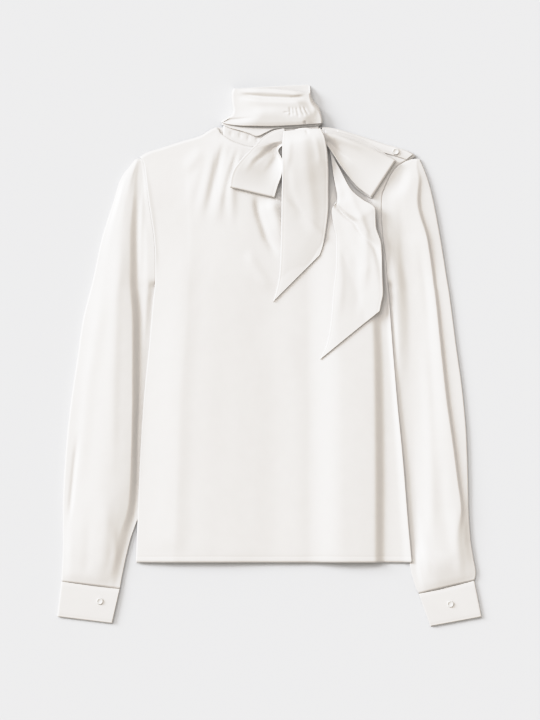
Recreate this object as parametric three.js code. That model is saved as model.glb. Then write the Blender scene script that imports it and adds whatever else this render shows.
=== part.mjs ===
// A long-sleeved satin blouse with a wrapped neckband tied in a bow, laid flat on its back.
// Millimetres. X is to the viewer's right, Y runs from the hem to the neck, Z is up off the surface.
// Two plies lie on each other everywhere, and what lies on a ply is made from that ply's own height.
import * as THREE from "three";

const CLOTH = 1.2; // thickness of one ply
const SEAM_GAP = 0.3; // between two pieces that are sewn to each other
const PLY_GAP = 0.65; // between two plies that lie on each other
const FLAT_STACK = 2 * CLOTH + PLY_GAP; // two plies on the surface
const STEEPEST = 2.2; // limit of the thickening on a steep slope
const SLOPE_STEP = 0.5; // distance used to measure a slope
const SATIN_ROUGHNESS = 0.55;
const SHELL_ROUGHNESS = 0.25;

const TIP_Y = 288; // shoulder tips
const UNDERARM_Y = 109.5;
const HEM_Y = -300;
// The wraps' lower plies lift the body round the neck, fully up to 'from' and fading over 'fade'.
const NECK = { x: 1, y: 345, halfWidth: 78, halfHeight: 42, lift: 3.1, from: 0.12, fade: 1 };

const IVORY = 0xe6e0d8;
const IVORY_SHADE = 0xdcd5cb;
const BUTTON_SHELL = 0xf0ece6;

// Smooth line through points (t, value) in rising t, that never overshoots them.
function smoothLine(points) {
  const ts = points.map((p) => p[0]);
  const vs = points.map((p) => p[1]);
  const last = ts.length - 1;
  const chords = vs.slice(1).map((v, i) => (v - vs[i]) / (ts[i + 1] - ts[i]));
  const slopes = vs.map((_, i) => {
    if (i === 0 || i === last) return chords[Math.min(i, last - 1)];
    const before = chords[i - 1];
    const after = chords[i];
    return before * after <= 0 ? 0 : (2 * before * after) / (before + after);
  });
  return (t) => {
    if (t <= ts[0]) return vs[0];
    if (t >= ts[last]) return vs[last];
    let i = 0;
    while (ts[i + 1] < t) i += 1;
    const h = ts[i + 1] - ts[i];
    const s = (t - ts[i]) / h;
    const r = 1 - s;
    return (
      vs[i] * r * r * (1 + 2 * s) +
      vs[i + 1] * s * s * (3 - 2 * s) +
      h * s * r * (slopes[i] * r - slopes[i + 1] * s)
    );
  };
}

// The same through plan points [x, y], as a function of the share of its length.
function planPath(points) {
  const along = [0];
  points.slice(1).forEach((p, i) => {
    along.push(along[i] + Math.hypot(p[0] - points[i][0], p[1] - points[i][1]));
  });
  const total = along[along.length - 1];
  const x = smoothLine(points.map((p, i) => [along[i] / total, p[0]]));
  const y = smoothLine(points.map((p, i) => [along[i] / total, p[1]]));
  return (t) => [x(t), y(t)];
}

// A table's columns as smooth lines over its first column.
function smoothTable(names, rows) {
  const sorted = [...rows].sort((a, b) => a[0] - b[0]);
  const lines = names.slice(1).map((name, i) => {
    return [name, smoothLine(sorted.map((row) => [row[0], row[i + 1]]))];
  });
  return Object.fromEntries(lines);
}

const mix = (a, b, t) => a + (b - a) * t;
const clamp = (v, low, high) => Math.min(Math.max(v, low), high);
const ease = (t) => {
  const s = clamp(t, 0, 1);
  return s * s * (3 - 2 * s);
};

// Shares from 0 to 1, closer together where a span has more steps.
function shares(spans) {
  const list = [0];
  spans.forEach(([end, steps]) => {
    const start = list[list.length - 1];
    for (let i = 1; i <= steps; i += 1) list.push(mix(start, end, i / steps));
  });
  return list;
}

const even = (count) => Array.from({ length: count + 1 }, (_, k) => k / count);
const lowered = (grid, by) => grid.map((row) => row.map(([x, y, z]) => [x, y, z - by]));

// A closed wall between two grids of points, one for its outer face and one for its inner face.
// A closed ring joins its last column to its first.
function wall(outer, inner, ring = false) {
  const rows = outer.length;
  const cols = outer[0].length;
  const points = [...outer.flat(), ...inner.flat()];
  const faces = [];
  const at = (side, i, j) => side * rows * cols + i * cols + (j % cols);
  const quad = (a, b, c, d) => faces.push(a, b, c, a, c, d);
  const spans = ring ? cols : cols - 1;
  for (let i = 0; i < rows - 1; i += 1) {
    for (let j = 0; j < spans; j += 1) {
      quad(at(0, i, j), at(0, i, j + 1), at(0, i + 1, j + 1), at(0, i + 1, j));
      quad(at(1, i, j), at(1, i + 1, j), at(1, i + 1, j + 1), at(1, i, j + 1));
    }
    if (!ring) {
      const end = cols - 1;
      quad(at(0, i, 0), at(0, i + 1, 0), at(1, i + 1, 0), at(1, i, 0));
      quad(at(0, i, end), at(1, i, end), at(1, i + 1, end), at(0, i + 1, end));
    }
  }
  for (let j = 0; j < spans; j += 1) {
    const end = rows - 1;
    quad(at(0, 0, j), at(1, 0, j), at(1, 0, j + 1), at(0, 0, j + 1));
    quad(at(0, end, j), at(0, end, j + 1), at(1, end, j + 1), at(1, end, j));
  }
  const geometry = new THREE.BufferGeometry();
  geometry.setAttribute("position", new THREE.Float32BufferAttribute(points.flat(), 3));
  geometry.setIndex(volumeOf(points, faces) < 0 ? faces.reverse() : faces);
  geometry.computeVertexNormals();
  return geometry;
}

function volumeOf(points, faces) {
  let sum = 0;
  for (let k = 0; k < faces.length; k += 3) {
    const [a, b, c] = [points[faces[k]], points[faces[k + 1]], points[faces[k + 2]]];
    sum += a[0] * (b[1] * c[2] - b[2] * c[1]);
    sum -= a[1] * (b[0] * c[2] - b[2] * c[0]);
    sum += a[2] * (b[0] * c[1] - b[1] * c[0]);
  }
  return sum / 6;
}

const blouse = new THREE.Group();
function addPiece(name, geometry, color, roughness = SATIN_ROUGHNESS) {
  const material = new THREE.MeshStandardMaterial({ color, roughness, metalness: 0 });
  const mesh = new THREE.Mesh(geometry, material);
  mesh.name = name;
  blouse.add(mesh);
}

// Body outline. The left edge is the viewer's left: armhole down to the underarm, then the side seam.
const BODY_EDGES = smoothTable(
  ["y", "left", "right"],
  [
    [TIP_Y, -187.8, 212.4],
    [283, -184.5, 200.8],
    [273.5, -181.5, 184.5],
    [254.5, -179, 172],
    [225.5, -175.5, 162.5],
    [203, -172, 162.2],
    [167.5, -167, 164.6],
    [138, -165.5, 168.5],
    [UNDERARM_Y, -165.5, 170.4],
    [80, -168.5, 173.3],
    [22, -173.5, 177.6],
    [-64, -182, 184.9],
    [-151, -187.5, 193.6],
    [-238, -191, 200.8],
    [HEM_Y, -193.6, 206.6],
  ],
);
const SHOULDER_LEFT = [
  [-187.8, TIP_Y],
  [-176, 295],
  [-158.8, 300],
  [-129.8, 309.5],
  [-100.8, 317.8],
  [-75, 330.5],
];
const SHOULDER_RIGHT = [
  [77, 331],
  [88, 330],
  [125.4, 320.3],
  [167.5, 306.7],
  [196.5, 298],
  [208, 292.5],
  [212.4, TIP_Y],
];
const FRONT_NECKLINE = [
  [-71, 323],
  [-64.5, 318.5],
  [-54.4, 311.5],
  [-42.8, 306.5],
  [-31, 303],
  [-19.6, 301.5],
  [10, 298],
  [40, 299],
  [60, 306],
  [72, 319],
];
const BACK_NECKLINE = [
  [-40, 329],
  [0, 327.5],
  [40, 329],
];
const frontTop = smoothLine([...SHOULDER_LEFT, ...FRONT_NECKLINE, ...SHOULDER_RIGHT]);
const backTop = smoothLine([...SHOULDER_LEFT, ...BACK_NECKLINE, ...SHOULDER_RIGHT]);

// Height of the body's upper face across the body, at a few distances up it.
// From the viewer's left: edge, soft ridge, its foot, the foot of the right fold, its shoulder,
// the long valley, the ridge beside the edge, and the edge.
const BODY_SECTIONS = smoothTable(
  ["y", "edgeZ", "ridgeX", "ridgeZ", "footX", "farX", "shoulderX", "shoulderZ",
    "valleyX", "valleyZ", "sideX", "sideZ", "rightZ"],
  [
    [330, 3.2, -125, 3.2, 0, 76, 90, 3.2, 120, 3.2, 165, 3.2, 3.2],
    [TIP_Y, 3.3, -120, 3.9, 0, 76, 90, 3.2, 125, 3.2, 165, 3.5, 3.3],
    [225, 4.8, -115, 7, 6, 46, 84, 4.2, 140, 3.6, 153, 6.4, 6.2],
    [168, 6.5, -114, 8.4, 10, 54, 92, 6.4, 150, 3.6, 159, 7, 7.5],
    [UNDERARM_Y, 7.2, -116, 9, 10, 56, 98, 8.4, 157, 3.2, 165, 7.4, 8.4],
    [22, 7.2, -121, 9.4, 10, 58, 104, 10, 163, 3.1, 171, 7.4, 8.4],
    [-64, 7.2, -128, 9.4, 8, 58, 108, 11.2, 165, 3.1, 177, 7.4, 8.4],
    [-180, 7.2, -132, 9.2, 8, 58, 110, 11.4, 165, 3.1, 186, 7.4, 8.8],
    [HEM_Y, 4.6, -138, 8.2, 8, 58, 112, 10.4, 165, 3.1, 195, 5.2, 7.6],
  ],
);

function neckLift(x, y) {
  const reach = Math.hypot((x - NECK.x) / NECK.halfWidth, (y - NECK.y) / NECK.halfHeight);
  return NECK.lift * ease(1 - (reach - 1 - NECK.from) / NECK.fade);
}

// The ridge falls away slowly at first. The right fold keeps its height up to a brink at its valley.
const PAST_RIDGE = { run: 22, fallen: 0.1 };
const BRINK = { before: 13, fallen: 0.14 };

function bodyHeight(x, y) {
  const s = BODY_SECTIONS;
  const low = FLAT_STACK;
  const across = smoothLine([
    [BODY_EDGES.left(y), s.edgeZ(y)],
    [s.ridgeX(y), s.ridgeZ(y)],
    [s.ridgeX(y) + PAST_RIDGE.run, mix(s.ridgeZ(y), low, PAST_RIDGE.fallen)],
    [s.footX(y), low],
    [s.farX(y), low],
    [s.shoulderX(y), s.shoulderZ(y)],
    [s.valleyX(y) - BRINK.before, mix(s.shoulderZ(y), s.valleyZ(y), BRINK.fallen)],
    [s.valleyX(y), s.valleyZ(y)],
    [s.sideX(y), s.sideZ(y)],
    [BODY_EDGES.right(y), s.rightZ(y)],
  ]);
  return Math.max(across(x), low) + neckLift(x, y);
}

// How much taller a ply is when cut upright, so that it keeps its thickness on a slope.
function plyHeight(height, x, y) {
  const z = height(x, y);
  const dx = (height(x + SLOPE_STEP, y) - z) / SLOPE_STEP;
  const dy = (height(x, y + SLOPE_STEP) - z) / SLOPE_STEP;
  const steep = Math.min(Math.hypot(1, dx, dy), STEEPEST);
  return Math.min(CLOTH * steep, (z - PLY_GAP) / 2);
}

// Soft folds that only the front has: from one end to the other, ridges that fade out at both.
const FRONT_FOLDS = [
  { from: [-79, 308], to: [-104, 188], width: 6, height: 2.6 },
  { from: [-54, 300], to: [-82, 182], width: 6, height: 2.8 },
  { from: [-36, 296], to: [-62, 205], width: 5, height: 2.2 },
  { from: [-98, 300], to: [-124, 262], width: 6, height: 1.8 },
  { from: [-9, 226], to: [24, 132], width: 8, height: 4.6 },
  { from: [-36, 150], to: [6, 92], width: 7, height: 1.4 },
];

const FOLD_FADE = { start: 0.25, end: 0.45 }; // shares of a fold's length over which it fades
function foldHeight(folds, x, y) {
  return folds.reduce((sum, { from, to, width, height }) => {
    const ax = to[0] - from[0];
    const ay = to[1] - from[1];
    const t = ((x - from[0]) * ax + (y - from[1]) * ay) / (ax * ax + ay * ay);
    const off = Math.abs((x - from[0]) * ay - (y - from[1]) * ax) / Math.hypot(ax, ay);
    const fade = ease(t / FOLD_FADE.start) * ease((1 - t) / FOLD_FADE.end);
    return sum + height * fade * Math.exp(-((off / width) ** 2));
  }, 0);
}

const frontHeight = (x, y) => bodyHeight(x, y) + foldHeight(FRONT_FOLDS, x, y);

// Plan point of the body at shares across and up. The top row is bent to the panel's top line.
function bodyPlan(u, v, topLine) {
  const y = mix(HEM_Y, TIP_Y, v);
  const topX = mix(BODY_EDGES.left(TIP_Y), BODY_EDGES.right(TIP_Y), u);
  return [mix(BODY_EDGES.left(y), BODY_EDGES.right(y), u), y + v * (topLine(topX) - TIP_Y)];
}

const ARMHOLE_STEPS = 7;
const ARMHOLE_CROWDING = 1.4; // rows are closer together near the shoulder tip
const armholeYs = Array.from({ length: ARMHOLE_STEPS + 1 }, (_, k) => {
  return mix(TIP_Y, UNDERARM_Y, (k / ARMHOLE_STEPS) ** ARMHOLE_CROWDING);
});
const SIDE_STEPS = 9; // rows from the hem to the underarm
const shareUp = (y) => (y - HEM_Y) / (TIP_Y - HEM_Y);
const BODY_ROWS = [...shares([[1, SIDE_STEPS]]).map((t) => mix(HEM_Y, UNDERARM_Y, t)),
  ...armholeYs.slice(0, -1).reverse()].map(shareUp);
const BODY_COLS = shares([[0.12, 4], [0.26, 4], [0.36, 6], [0.6, 3], [0.72, 4], [0.86, 4], [1, 7]]);

// A panel of the body: its two faces, the same number of plies down from the height.
function bodyPanel(topLine, height, pliesAbove) {
  const face = (plies) => BODY_ROWS.map((v) => BODY_COLS.map((u) => {
    const [x, y] = bodyPlan(u, v, topLine);
    return [x, y, height(x, y) - plies * plyHeight(bodyHeight, x, y) - pliesAbove * PLY_GAP];
  }));
  return wall(face(pliesAbove), face(pliesAbove + 1));
}
addPiece("front", bodyPanel(frontTop, frontHeight, 0), IVORY);
addPiece("back", bodyPanel(backTop, bodyHeight, 1), IVORY_SHADE);

// A flattened tube slit along one side: upper ply, round nose at the outer edge, lower ply.
// Each row is a list of [x, y, z] on the upper face, from the slit to the nose.
const NOSE_STEPS = 3;
const HOLLOW = 3; // the most that the upper ply stands off the lower one
const HOLLOW_FROM = 5; // columns over which it opens
const LEAST_RUN = 0.1; // keeps a slope finite
function flatTube(rows, outward) {
  const outer = [];
  const inner = [];
  rows.forEach((row) => {
    const ply = row.map(([, , z], j) => {
      const [a, b] = [row[Math.max(j - 1, 0)], row[Math.min(j + 1, row.length - 1)]];
      const slope = (b[2] - a[2]) / Math.max(Math.abs(b[0] - a[0]), LEAST_RUN);
      return Math.min(CLOTH * Math.min(Math.hypot(1, slope), STEEPEST), (z - PLY_GAP) / 2);
    });
    const [ex, ey, ez] = row[row.length - 1];
    const t = ply[row.length - 1];
    const lowZ = row.map(([, , z], j) => {
      return Math.max(z - 2 * ply[j] - PLY_GAP - HOLLOW * ease(j / HOLLOW_FROM), 0);
    });
    const half = (ez - lowZ[row.length - 1]) / 2;
    const nose = Array.from({ length: NOSE_STEPS }, (_, k) => {
      const turn = Math.PI / 2 - (Math.PI * (k + 1)) / (NOSE_STEPS + 1);
      return [Math.cos(turn), Math.sin(turn)];
    });
    const arc = (r) => nose.map(([c, s]) => [ex + outward * r * c, ey, ez - half + r * s]);
    const under = [...row.keys()].reverse();
    outer.push([...row, ...arc(half), ...under.map((j) => [row[j][0], row[j][1], lowZ[j]])]);
    inner.push([...row.map(([x, y, z], j) => [x, y, z - ply[j]]), ...arc(half - t),
      ...under.map((j) => [row[j][0], row[j][1], lowZ[j] + ply[j]])]);
  });
  return wall(outer, inner);
}

// The sleeves' upper faces: lines that run from the shoulder to the wrist, each with its x and z.
// "inner" is the armhole seam, and below the underarm the edge that is tucked under the body.
const SLEEVE_PLACES = ["inner", "strip", "core", "foot", "ridge", "dip", "outer"];
const SLEEVE_NAMES = ["y", ...SLEEVE_PLACES.flatMap((place) => [place, place + "Z"]), "drop"];
const LEFT_SLEEVE = smoothTable(SLEEVE_NAMES, [
  [285, -186.5, 3.4, -187.4, 3.5, -188.4, 3.6, -189.4, 3.7, -190.4, 3.7, -191.4, 3.6, -192.4, 3.3, 0],
  [254.5, -179.4, 4, -183, 4.3, -190, 4.6, -196, 6, -202, 7, -208, 6.2, -214, 4.2, 0],
  [225.5, -175.8, 4.9, -182, 5.4, -190, 4.9, -199, 8.2, -208, 9.2, -216, 8.2, -223, 4.6, 0],
  [167.5, -167.3, 6.5, -177, 7.2, -190.5, 3.8, -203, 9.8, -214, 10.6, -229, 8.8, -241, 5.4, 0],
  [UNDERARM_Y, -165.8, 7.2, -176, 7, -190, 3.4, -204, 10.8, -217, 12, -238, 9, -253.5, 5.8, 0],
  [104, -166.6, 3.2, -176, 6, -190, 3.4, -204, 10.8, -218, 12, -239, 9, -254.8, 5.8, 0],
  [92, -159, 3, -178, 5.6, -190, 3, -203, 11, -220, 12.2, -242, 9, -258, 5.8, 0],
  [51.5, -161, 3, -180, 4.6, -187, 3, -199, 11.2, -221, 12.8, -252, 8.8, -268, 6, 0],
  [-6.5, -166, 3, -182, 3, -187, 3, -199, 11.4, -225, 13, -260, 8.4, -276.5, 6, 0],
  [-64.5, -171, 3, -184.5, 3, -188, 3, -199, 11.4, -230, 13, -267, 8, -285, 6, 0],
  [-122.5, -176, 3, -187, 3, -190, 3, -200, 11, -233, 12.8, -277, 7.4, -291.5, 6, 0],
  [-180.5, -180, 3, -189, 3, -191, 3, -202, 10, -236, 12.4, -284.5, 6.8, -295.5, 5.8, 0],
  [-217, -185, 3, -191.5, 3, -193.5, 3, -205, 8.6, -238, 12, -288, 7, -297, 5.4, 0],
  [-267.5, -202, 3.1, -203.5, 3.2, -206.5, 3.6, -220, 8, -244, 11, -286, 8, -297, 4.6, 2],
  [-318, -214, 3.1, -215.5, 3.3, -218.5, 3.6, -227, 5.2, -252, 7.6, -286, 6.4, -299, 4, 7],
  [-333, -217, 3.2, -219, 3.3, -223, 3.4, -231, 3.6, -257, 4, -284, 3.8, -300, 3.4, 11],
]);
const RIGHT_SLEEVE = smoothTable(SLEEVE_NAMES, [
  [285, 206.7, 3.4, 208, 3.5, 209.4, 3.6, 211, 3.7, 212.6, 3.7, 214.2, 3.6, 215.8, 3.3, 0],
  [273.5, 184.8, 4, 188, 4.2, 195, 4.4, 205, 4.8, 212, 4.8, 216, 4.2, 221, 3.6, 0],
  [254.5, 172.3, 5, 178, 4.6, 188, 4.4, 205, 7.6, 215, 7.2, 221, 5, 228, 4, 0],
  [225.5, 162.8, 6.2, 170, 6.2, 179, 7.4, 197, 9.8, 213, 9.4, 219.5, 5.4, 235.5, 4.2, 0],
  [167.5, 164.9, 7.5, 171.5, 4.2, 186, 5, 212, 10.8, 228.5, 11.2, 232, 4.8, 246.5, 4.2, 0],
  [UNDERARM_Y, 170.7, 8.4, 176, 6.8, 203, 3.2, 219, 9.2, 236.5, 10.6, 240.5, 4.6, 256, 4.2, 0],
  [104, 171.6, 3.2, 176, 5.4, 204, 3, 220, 9.3, 237, 10.8, 241, 4.6, 257, 4.2, 0],
  [92, 165.5, 3, 178, 4.8, 205, 3, 221, 9.6, 239, 11.2, 243, 4.5, 259, 4.2, 0],
  [22.5, 170.5, 3, 183, 3.6, 206, 3, 220, 9.6, 246.5, 11.6, 250.5, 4.3, 268, 4.2, 0],
  [-64.5, 176, 3, 189, 3, 201, 3, 213, 9.4, 256, 11.8, 260.5, 4.3, 279.5, 4.2, 0],
  [-122.5, 181, 3, 196.5, 3, 203, 3, 214, 9.4, 264.5, 11.8, 269, 4.4, 284, 4.2, 0],
  [-180.5, 185, 3, 202, 3, 207, 3, 216, 9.2, 272, 11.4, 276.5, 4.8, 286, 4.2, 0],
  [-224, 192, 3, 206.5, 3, 210.5, 3, 219, 8.8, 277, 10.6, 281.5, 6, 286.8, 4.2, 0],
  [-267.5, 199, 3, 210, 3, 213, 3, 221, 8, 268, 9.8, 281, 7.4, 289.5, 4.2, 3],
  [-299, 203.5, 3.1, 211.5, 3.6, 219, 6.8, 240, 10.8, 268, 9, 285, 6.4, 294, 4, 10],
  [-325, 211, 3.2, 216, 3.8, 224, 5.6, 245, 7.4, 270, 6.8, 287, 5.4, 297.5, 3.8, 17],
  [-336, 216.5, 3.2, 220, 3.3, 228, 3.5, 248, 4, 270, 3.8, 284, 3.6, 295.5, 3.4, 19],
]);
const SLEEVE_SPANS = shares([[1 / 7, 1], [3 / 7, 4], [4 / 7, 2], [6 / 7, 5], [1, 2]]);
const LOWER_SLEEVE_ROWS = 12;

LEFT_SLEEVE.leavesBody = -222;
RIGHT_SLEEVE.leavesBody = -300;
// The sleeve's upper face where the body's edge lies over it, and the shares of the way to the
// strip between which that place stays.
const TUCK = { clear: 1.2, z: 3.4, least: 0.3, most: 0.9 };

// Where the body's armhole edge runs at a height, along its straight facets.
const ROUNDING = 1e-6;
function armholeX(side, y) {
  const k = clamp(armholeYs.findIndex((row) => row <= y + ROUNDING), 1, ARMHOLE_STEPS);
  const t = (y - armholeYs[k]) / (armholeYs[k - 1] - armholeYs[k]);
  return mix(BODY_EDGES[side](armholeYs[k]), BODY_EDGES[side](armholeYs[k - 1]), t);
}

// Upper face of a sleeve at one distance down it. The wrist end slants by the drop.
function sleeveRow(sleeve, side, outward, y) {
  const sewn = y >= UNDERARM_Y;
  const edge = sewn ? armholeX(side, y) + outward * SEAM_GAP : sleeve.inner(y);
  const edgeZ = sewn ? bodyHeight(BODY_EDGES[side](y), y) : sleeve.innerZ(y);
  const width = sleeve.outer(y) - edge;
  const stripShare = (sleeve.strip(y) - edge) / width;
  const underBody = (BODY_EDGES[side](y) + outward * TUCK.clear - edge) / width;
  const tucked = !sewn && y > sleeve.leavesBody;
  const bounded = clamp(underBody, stripShare * TUCK.least, stripShare * TUCK.most);
  const tuckShare = tucked ? bounded : stripShare / 2;
  const tuckZ = tucked ? Math.min(TUCK.z, sleeve.stripZ(y)) : mix(edgeZ, sleeve.stripZ(y), 0.5);
  const places = [[0, edgeZ], [tuckShare, tuckZ], ...SLEEVE_PLACES.slice(1).map((place) => {
    return [(sleeve[place](y) - edge) / width, sleeve[place + "Z"](y)];
  })];
  const across = smoothLine(places);
  const line = smoothLine(places.map(([share], k) => [k / (places.length - 1), share]));
  return SLEEVE_SPANS.map((share) => {
    const s = line(share);
    return [edge + s * width, y + sleeve.drop(y) * (s - 0.5), across(s)];
  });
}

const SLEEVE_TOP_Y = 285;
const LEAVES_SEAM_Y = 104; // the sleeve drops from the seam here and goes under the body
const UNDER_BODY_Y = 92;
function sleeveRows(sleeve, side, outward, wristY) {
  const rest = Array.from({ length: LOWER_SLEEVE_ROWS }, (_, k) => {
    return mix(UNDER_BODY_Y, wristY, k / (LOWER_SLEEVE_ROWS - 1));
  });
  const ys = [SLEEVE_TOP_Y, ...armholeYs.slice(1), LEAVES_SEAM_Y, ...rest];
  return ys.map((y) => sleeveRow(sleeve, side, outward, y));
}
const LEFT_WRIST_Y = -333;
const RIGHT_WRIST_Y = -336;
const leftSleeve = sleeveRows(LEFT_SLEEVE, "left", -1, LEFT_WRIST_Y);
const rightSleeve = sleeveRows(RIGHT_SLEEVE, "right", 1, RIGHT_WRIST_Y);
addPiece("sleeve_left", flatTube(leftSleeve, -1), IVORY);
addPiece("sleeve_right", flatTube(rightSleeve, 1), IVORY);

// Cuffs: flattened bands sewn to the sleeves' slanting ends. Corners run from the sleeve's
// inner edge to its outer edge, then the same at the open end.
const CUFF_Z = FLAT_STACK + 0.1;
const CUFF_COLUMNS = 8;
const CUFF_ROWS = 3;
const CUFFS = [
  {
    name: "cuff_left",
    seam: leftSleeve[leftSleeve.length - 1],
    open: [[-228, -388], [-306, -378.5]],
    outward: -1,
    button: [-246, -356],
  },
  {
    name: "cuff_right",
    seam: rightSleeve[rightSleeve.length - 1],
    open: [[233, -392.5], [306, -379]],
    outward: 1,
    button: [262, -360],
  },
];
const BUTTON_SIDES = 16;
// Radius and height, from the middle of the underside round the rim to the dished middle.
const BUTTON_PROFILE = [[0, 0], [4.3, 0], [4.8, 0.7], [4.6, 1.7], [4, 2], [3.1, 1.5], [0, 1.4]];

function buttonAt(name, x, y, z) {
  const profile = BUTTON_PROFILE.map(([r, h]) => new THREE.Vector2(r, h));
  const geometry = new THREE.LatheGeometry(profile, BUTTON_SIDES);
  geometry.rotateX(Math.PI / 2).translate(x, y, z);
  addPiece(name, geometry, BUTTON_SHELL, SHELL_ROUGHNESS);
}

CUFFS.forEach(({ name, seam, open, outward, button }) => {
  const first = seam[0];
  const last = seam[seam.length - 1];
  const rows = even(CUFF_ROWS).map((v) => even(CUFF_COLUMNS).map((u) => {
    const x = mix(mix(first[0], last[0], u), mix(open[0][0], open[1][0], u), v);
    const y = mix(mix(first[1], last[1], u) - SEAM_GAP, mix(open[0][1], open[1][1], u), v);
    return [x, y, CUFF_Z];
  }));
  addPiece(name, flatTube(rows, outward), IVORY);
  buttonAt(name.replace("cuff", "cuff_button"), button[0], button[1], CUFF_Z + SEAM_GAP);
});

// The strip along the buttoned shoulder, on the front's own points.
const PLACKET = { fromX: 98, toX: 203, width: 12, inset: 1.5, columns: 10, rows: 3 };
function addPlacket() {
  const inner = even(PLACKET.rows).map((v) => even(PLACKET.columns).map((u) => {
    const x = mix(PLACKET.fromX, PLACKET.toX, u);
    const y = frontTop(x) - PLACKET.inset - PLACKET.width * v;
    return [x, y, frontHeight(x, y) + PLY_GAP];
  }));
  addPiece("shoulder_placket", wall(lowered(inner, -CLOTH), inner), IVORY);
}
addPlacket();
const SHOULDER_BUTTON = { x: 182.7, y: 295.5 };
const onPlacket = frontHeight(SHOULDER_BUTTON.x, SHOULDER_BUTTON.y) + PLY_GAP + CLOTH + SEAM_GAP;
buttonAt("shoulder_button", SHOULDER_BUTTON.x, SHOULDER_BUTTON.y, onPlacket);

// A flattened ring of cloth: an upper and a lower ply joined by round noses at both ends.
// Each row has its two ends, the shape of its upper face, and the same for its lower face.
const NOSE = 2.4;
function flatRing(rows, bottomZ, columns, noseShare = 0.5) {
  const outer = [];
  const inner = [];
  rows.forEach(({ left, right, upperY, lowerY, topZ }) => {
    const span = Array.from({ length: columns + 1 }, (_, j) => j / columns);
    const top = span.map((u) => [mix(left, right, u), upperY(u), topZ(u)]);
    const bottom = span.map((u) => [mix(left, right, u), lowerY(u), bottomZ]).reverse();
    const nose = (x, side) => {
      const end = side > 0 ? 1 : 0;
      const y = mix(upperY(end), lowerY(end), noseShare);
      const half = (topZ(end) - bottomZ) / 2;
      const bulge = Math.min(half, NOSE);
      return [[x + side * bulge, y, bottomZ + half], [x + side * (bulge - CLOTH), y, bottomZ + half]];
    };
    const [rightNose, leftNose] = [nose(right, 1), nose(left, -1)];
    outer.push([...top, rightNose[0], ...bottom, leftNose[0]]);
    inner.push([...top.map(([x, y, z]) => [x, y, z - CLOTH]), rightNose[1],
      ...bottom.map(([x, y, z]) => [x, y, z + CLOTH]), leftNose[1]]);
  });
  return wall(outer, inner, true);
}

// Collar stand, sewn into the neckline, and the two turns of the neckband wrapped round it.
// The neck's outline by height; each turn lies inside the one over it.
const NECK_SIDES = smoothTable(
  ["y", "left", "right"],
  [
    [318, -72.6, 74],
    [331, -72.6, 76.5],
    [338.6, -70.5, 77],
    [345.8, -63.5, 76.5],
    [353, -54.5, 75],
    [360, -52.5, 72.5],
    [373, -54.4, 63.5],
    [384, -54.8, 60],
    [393, -51.5, 58.8],
  ],
);
const TURN_INSET = 2.5; // how far each turn is inside the next
const neckSpan = (y, turns) => ({
  left: NECK_SIDES.left(y) + NOSE + turns * TURN_INSET,
  right: NECK_SIDES.right(y) - NOSE - turns * TURN_INSET,
});
const STAND = { low: 331, top: 337, lap: 1.2, rows: 2, columns: 18 };
const NECK_Z = bodyHeight(NECK.x, NECK.y);
const WRAP_STEP = CLOTH + SEAM_GAP;
const STAND_Z = NECK_Z + WRAP_STEP; // its upper ply laps over the front's neckline
const STAND_BOTTOM = NECK_Z - FLAT_STACK;
function addStand() {
  const rows = even(STAND.rows).map((v) => {
    const { left, right } = neckSpan(mix(STAND.low, STAND.top, v), 2);
    const xAt = (u) => mix(left, right, u);
    return {
      left,
      right,
      upperY: (u) => mix(frontTop(xAt(u)) - STAND.lap, STAND.top, v),
      lowerY: (u) => mix(backTop(xAt(u)) + STAND.lap, STAND.top, v),
      topZ: () => STAND_Z,
    };
  });
  addPiece("collar_stand", flatRing(rows, STAND_BOTTOM, STAND.columns, 1), IVORY);
}
addStand();

const LOWER_WRAP_EDGE = smoothLine([[-72, 336], [-56, 329], [-43, 325.5], [-30, 321.5], [-18, 317],
  [-6, 322], [8, 328], [40, 330], [72, 333]]);
const UPPER_WRAP_EDGE = smoothLine([[-75, 339.5], [-60, 334.5], [-36, 332], [0, 331.5], [40, 333],
  [78, 336]]);
const LOWER_WRAP = { low: 334, top: 339.8, backRise: 6, rows: 3, columns: 14, swell: 1 };
function addLowerWrap() {
  const rows = even(LOWER_WRAP.rows).map((v) => {
    const { left, right } = neckSpan(mix(LOWER_WRAP.low, LOWER_WRAP.top, v), 1);
    const xAt = (u) => mix(left, right, u);
    const swell = LOWER_WRAP.swell * (1 - v);
    return {
      left,
      right,
      upperY: (u) => mix(LOWER_WRAP_EDGE(xAt(u)), LOWER_WRAP.top, v),
      lowerY: (u) => mix(backTop(xAt(u)) + LOWER_WRAP.backRise, LOWER_WRAP.top, v),
      topZ: (u) => STAND_Z + WRAP_STEP + swell * Math.sqrt(Math.sin(Math.PI * u)),
    };
  });
  addPiece("neck_wrap_lower", flatRing(rows, STAND_BOTTOM - WRAP_STEP, LOWER_WRAP.columns), IVORY);
}
addLowerWrap();

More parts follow.
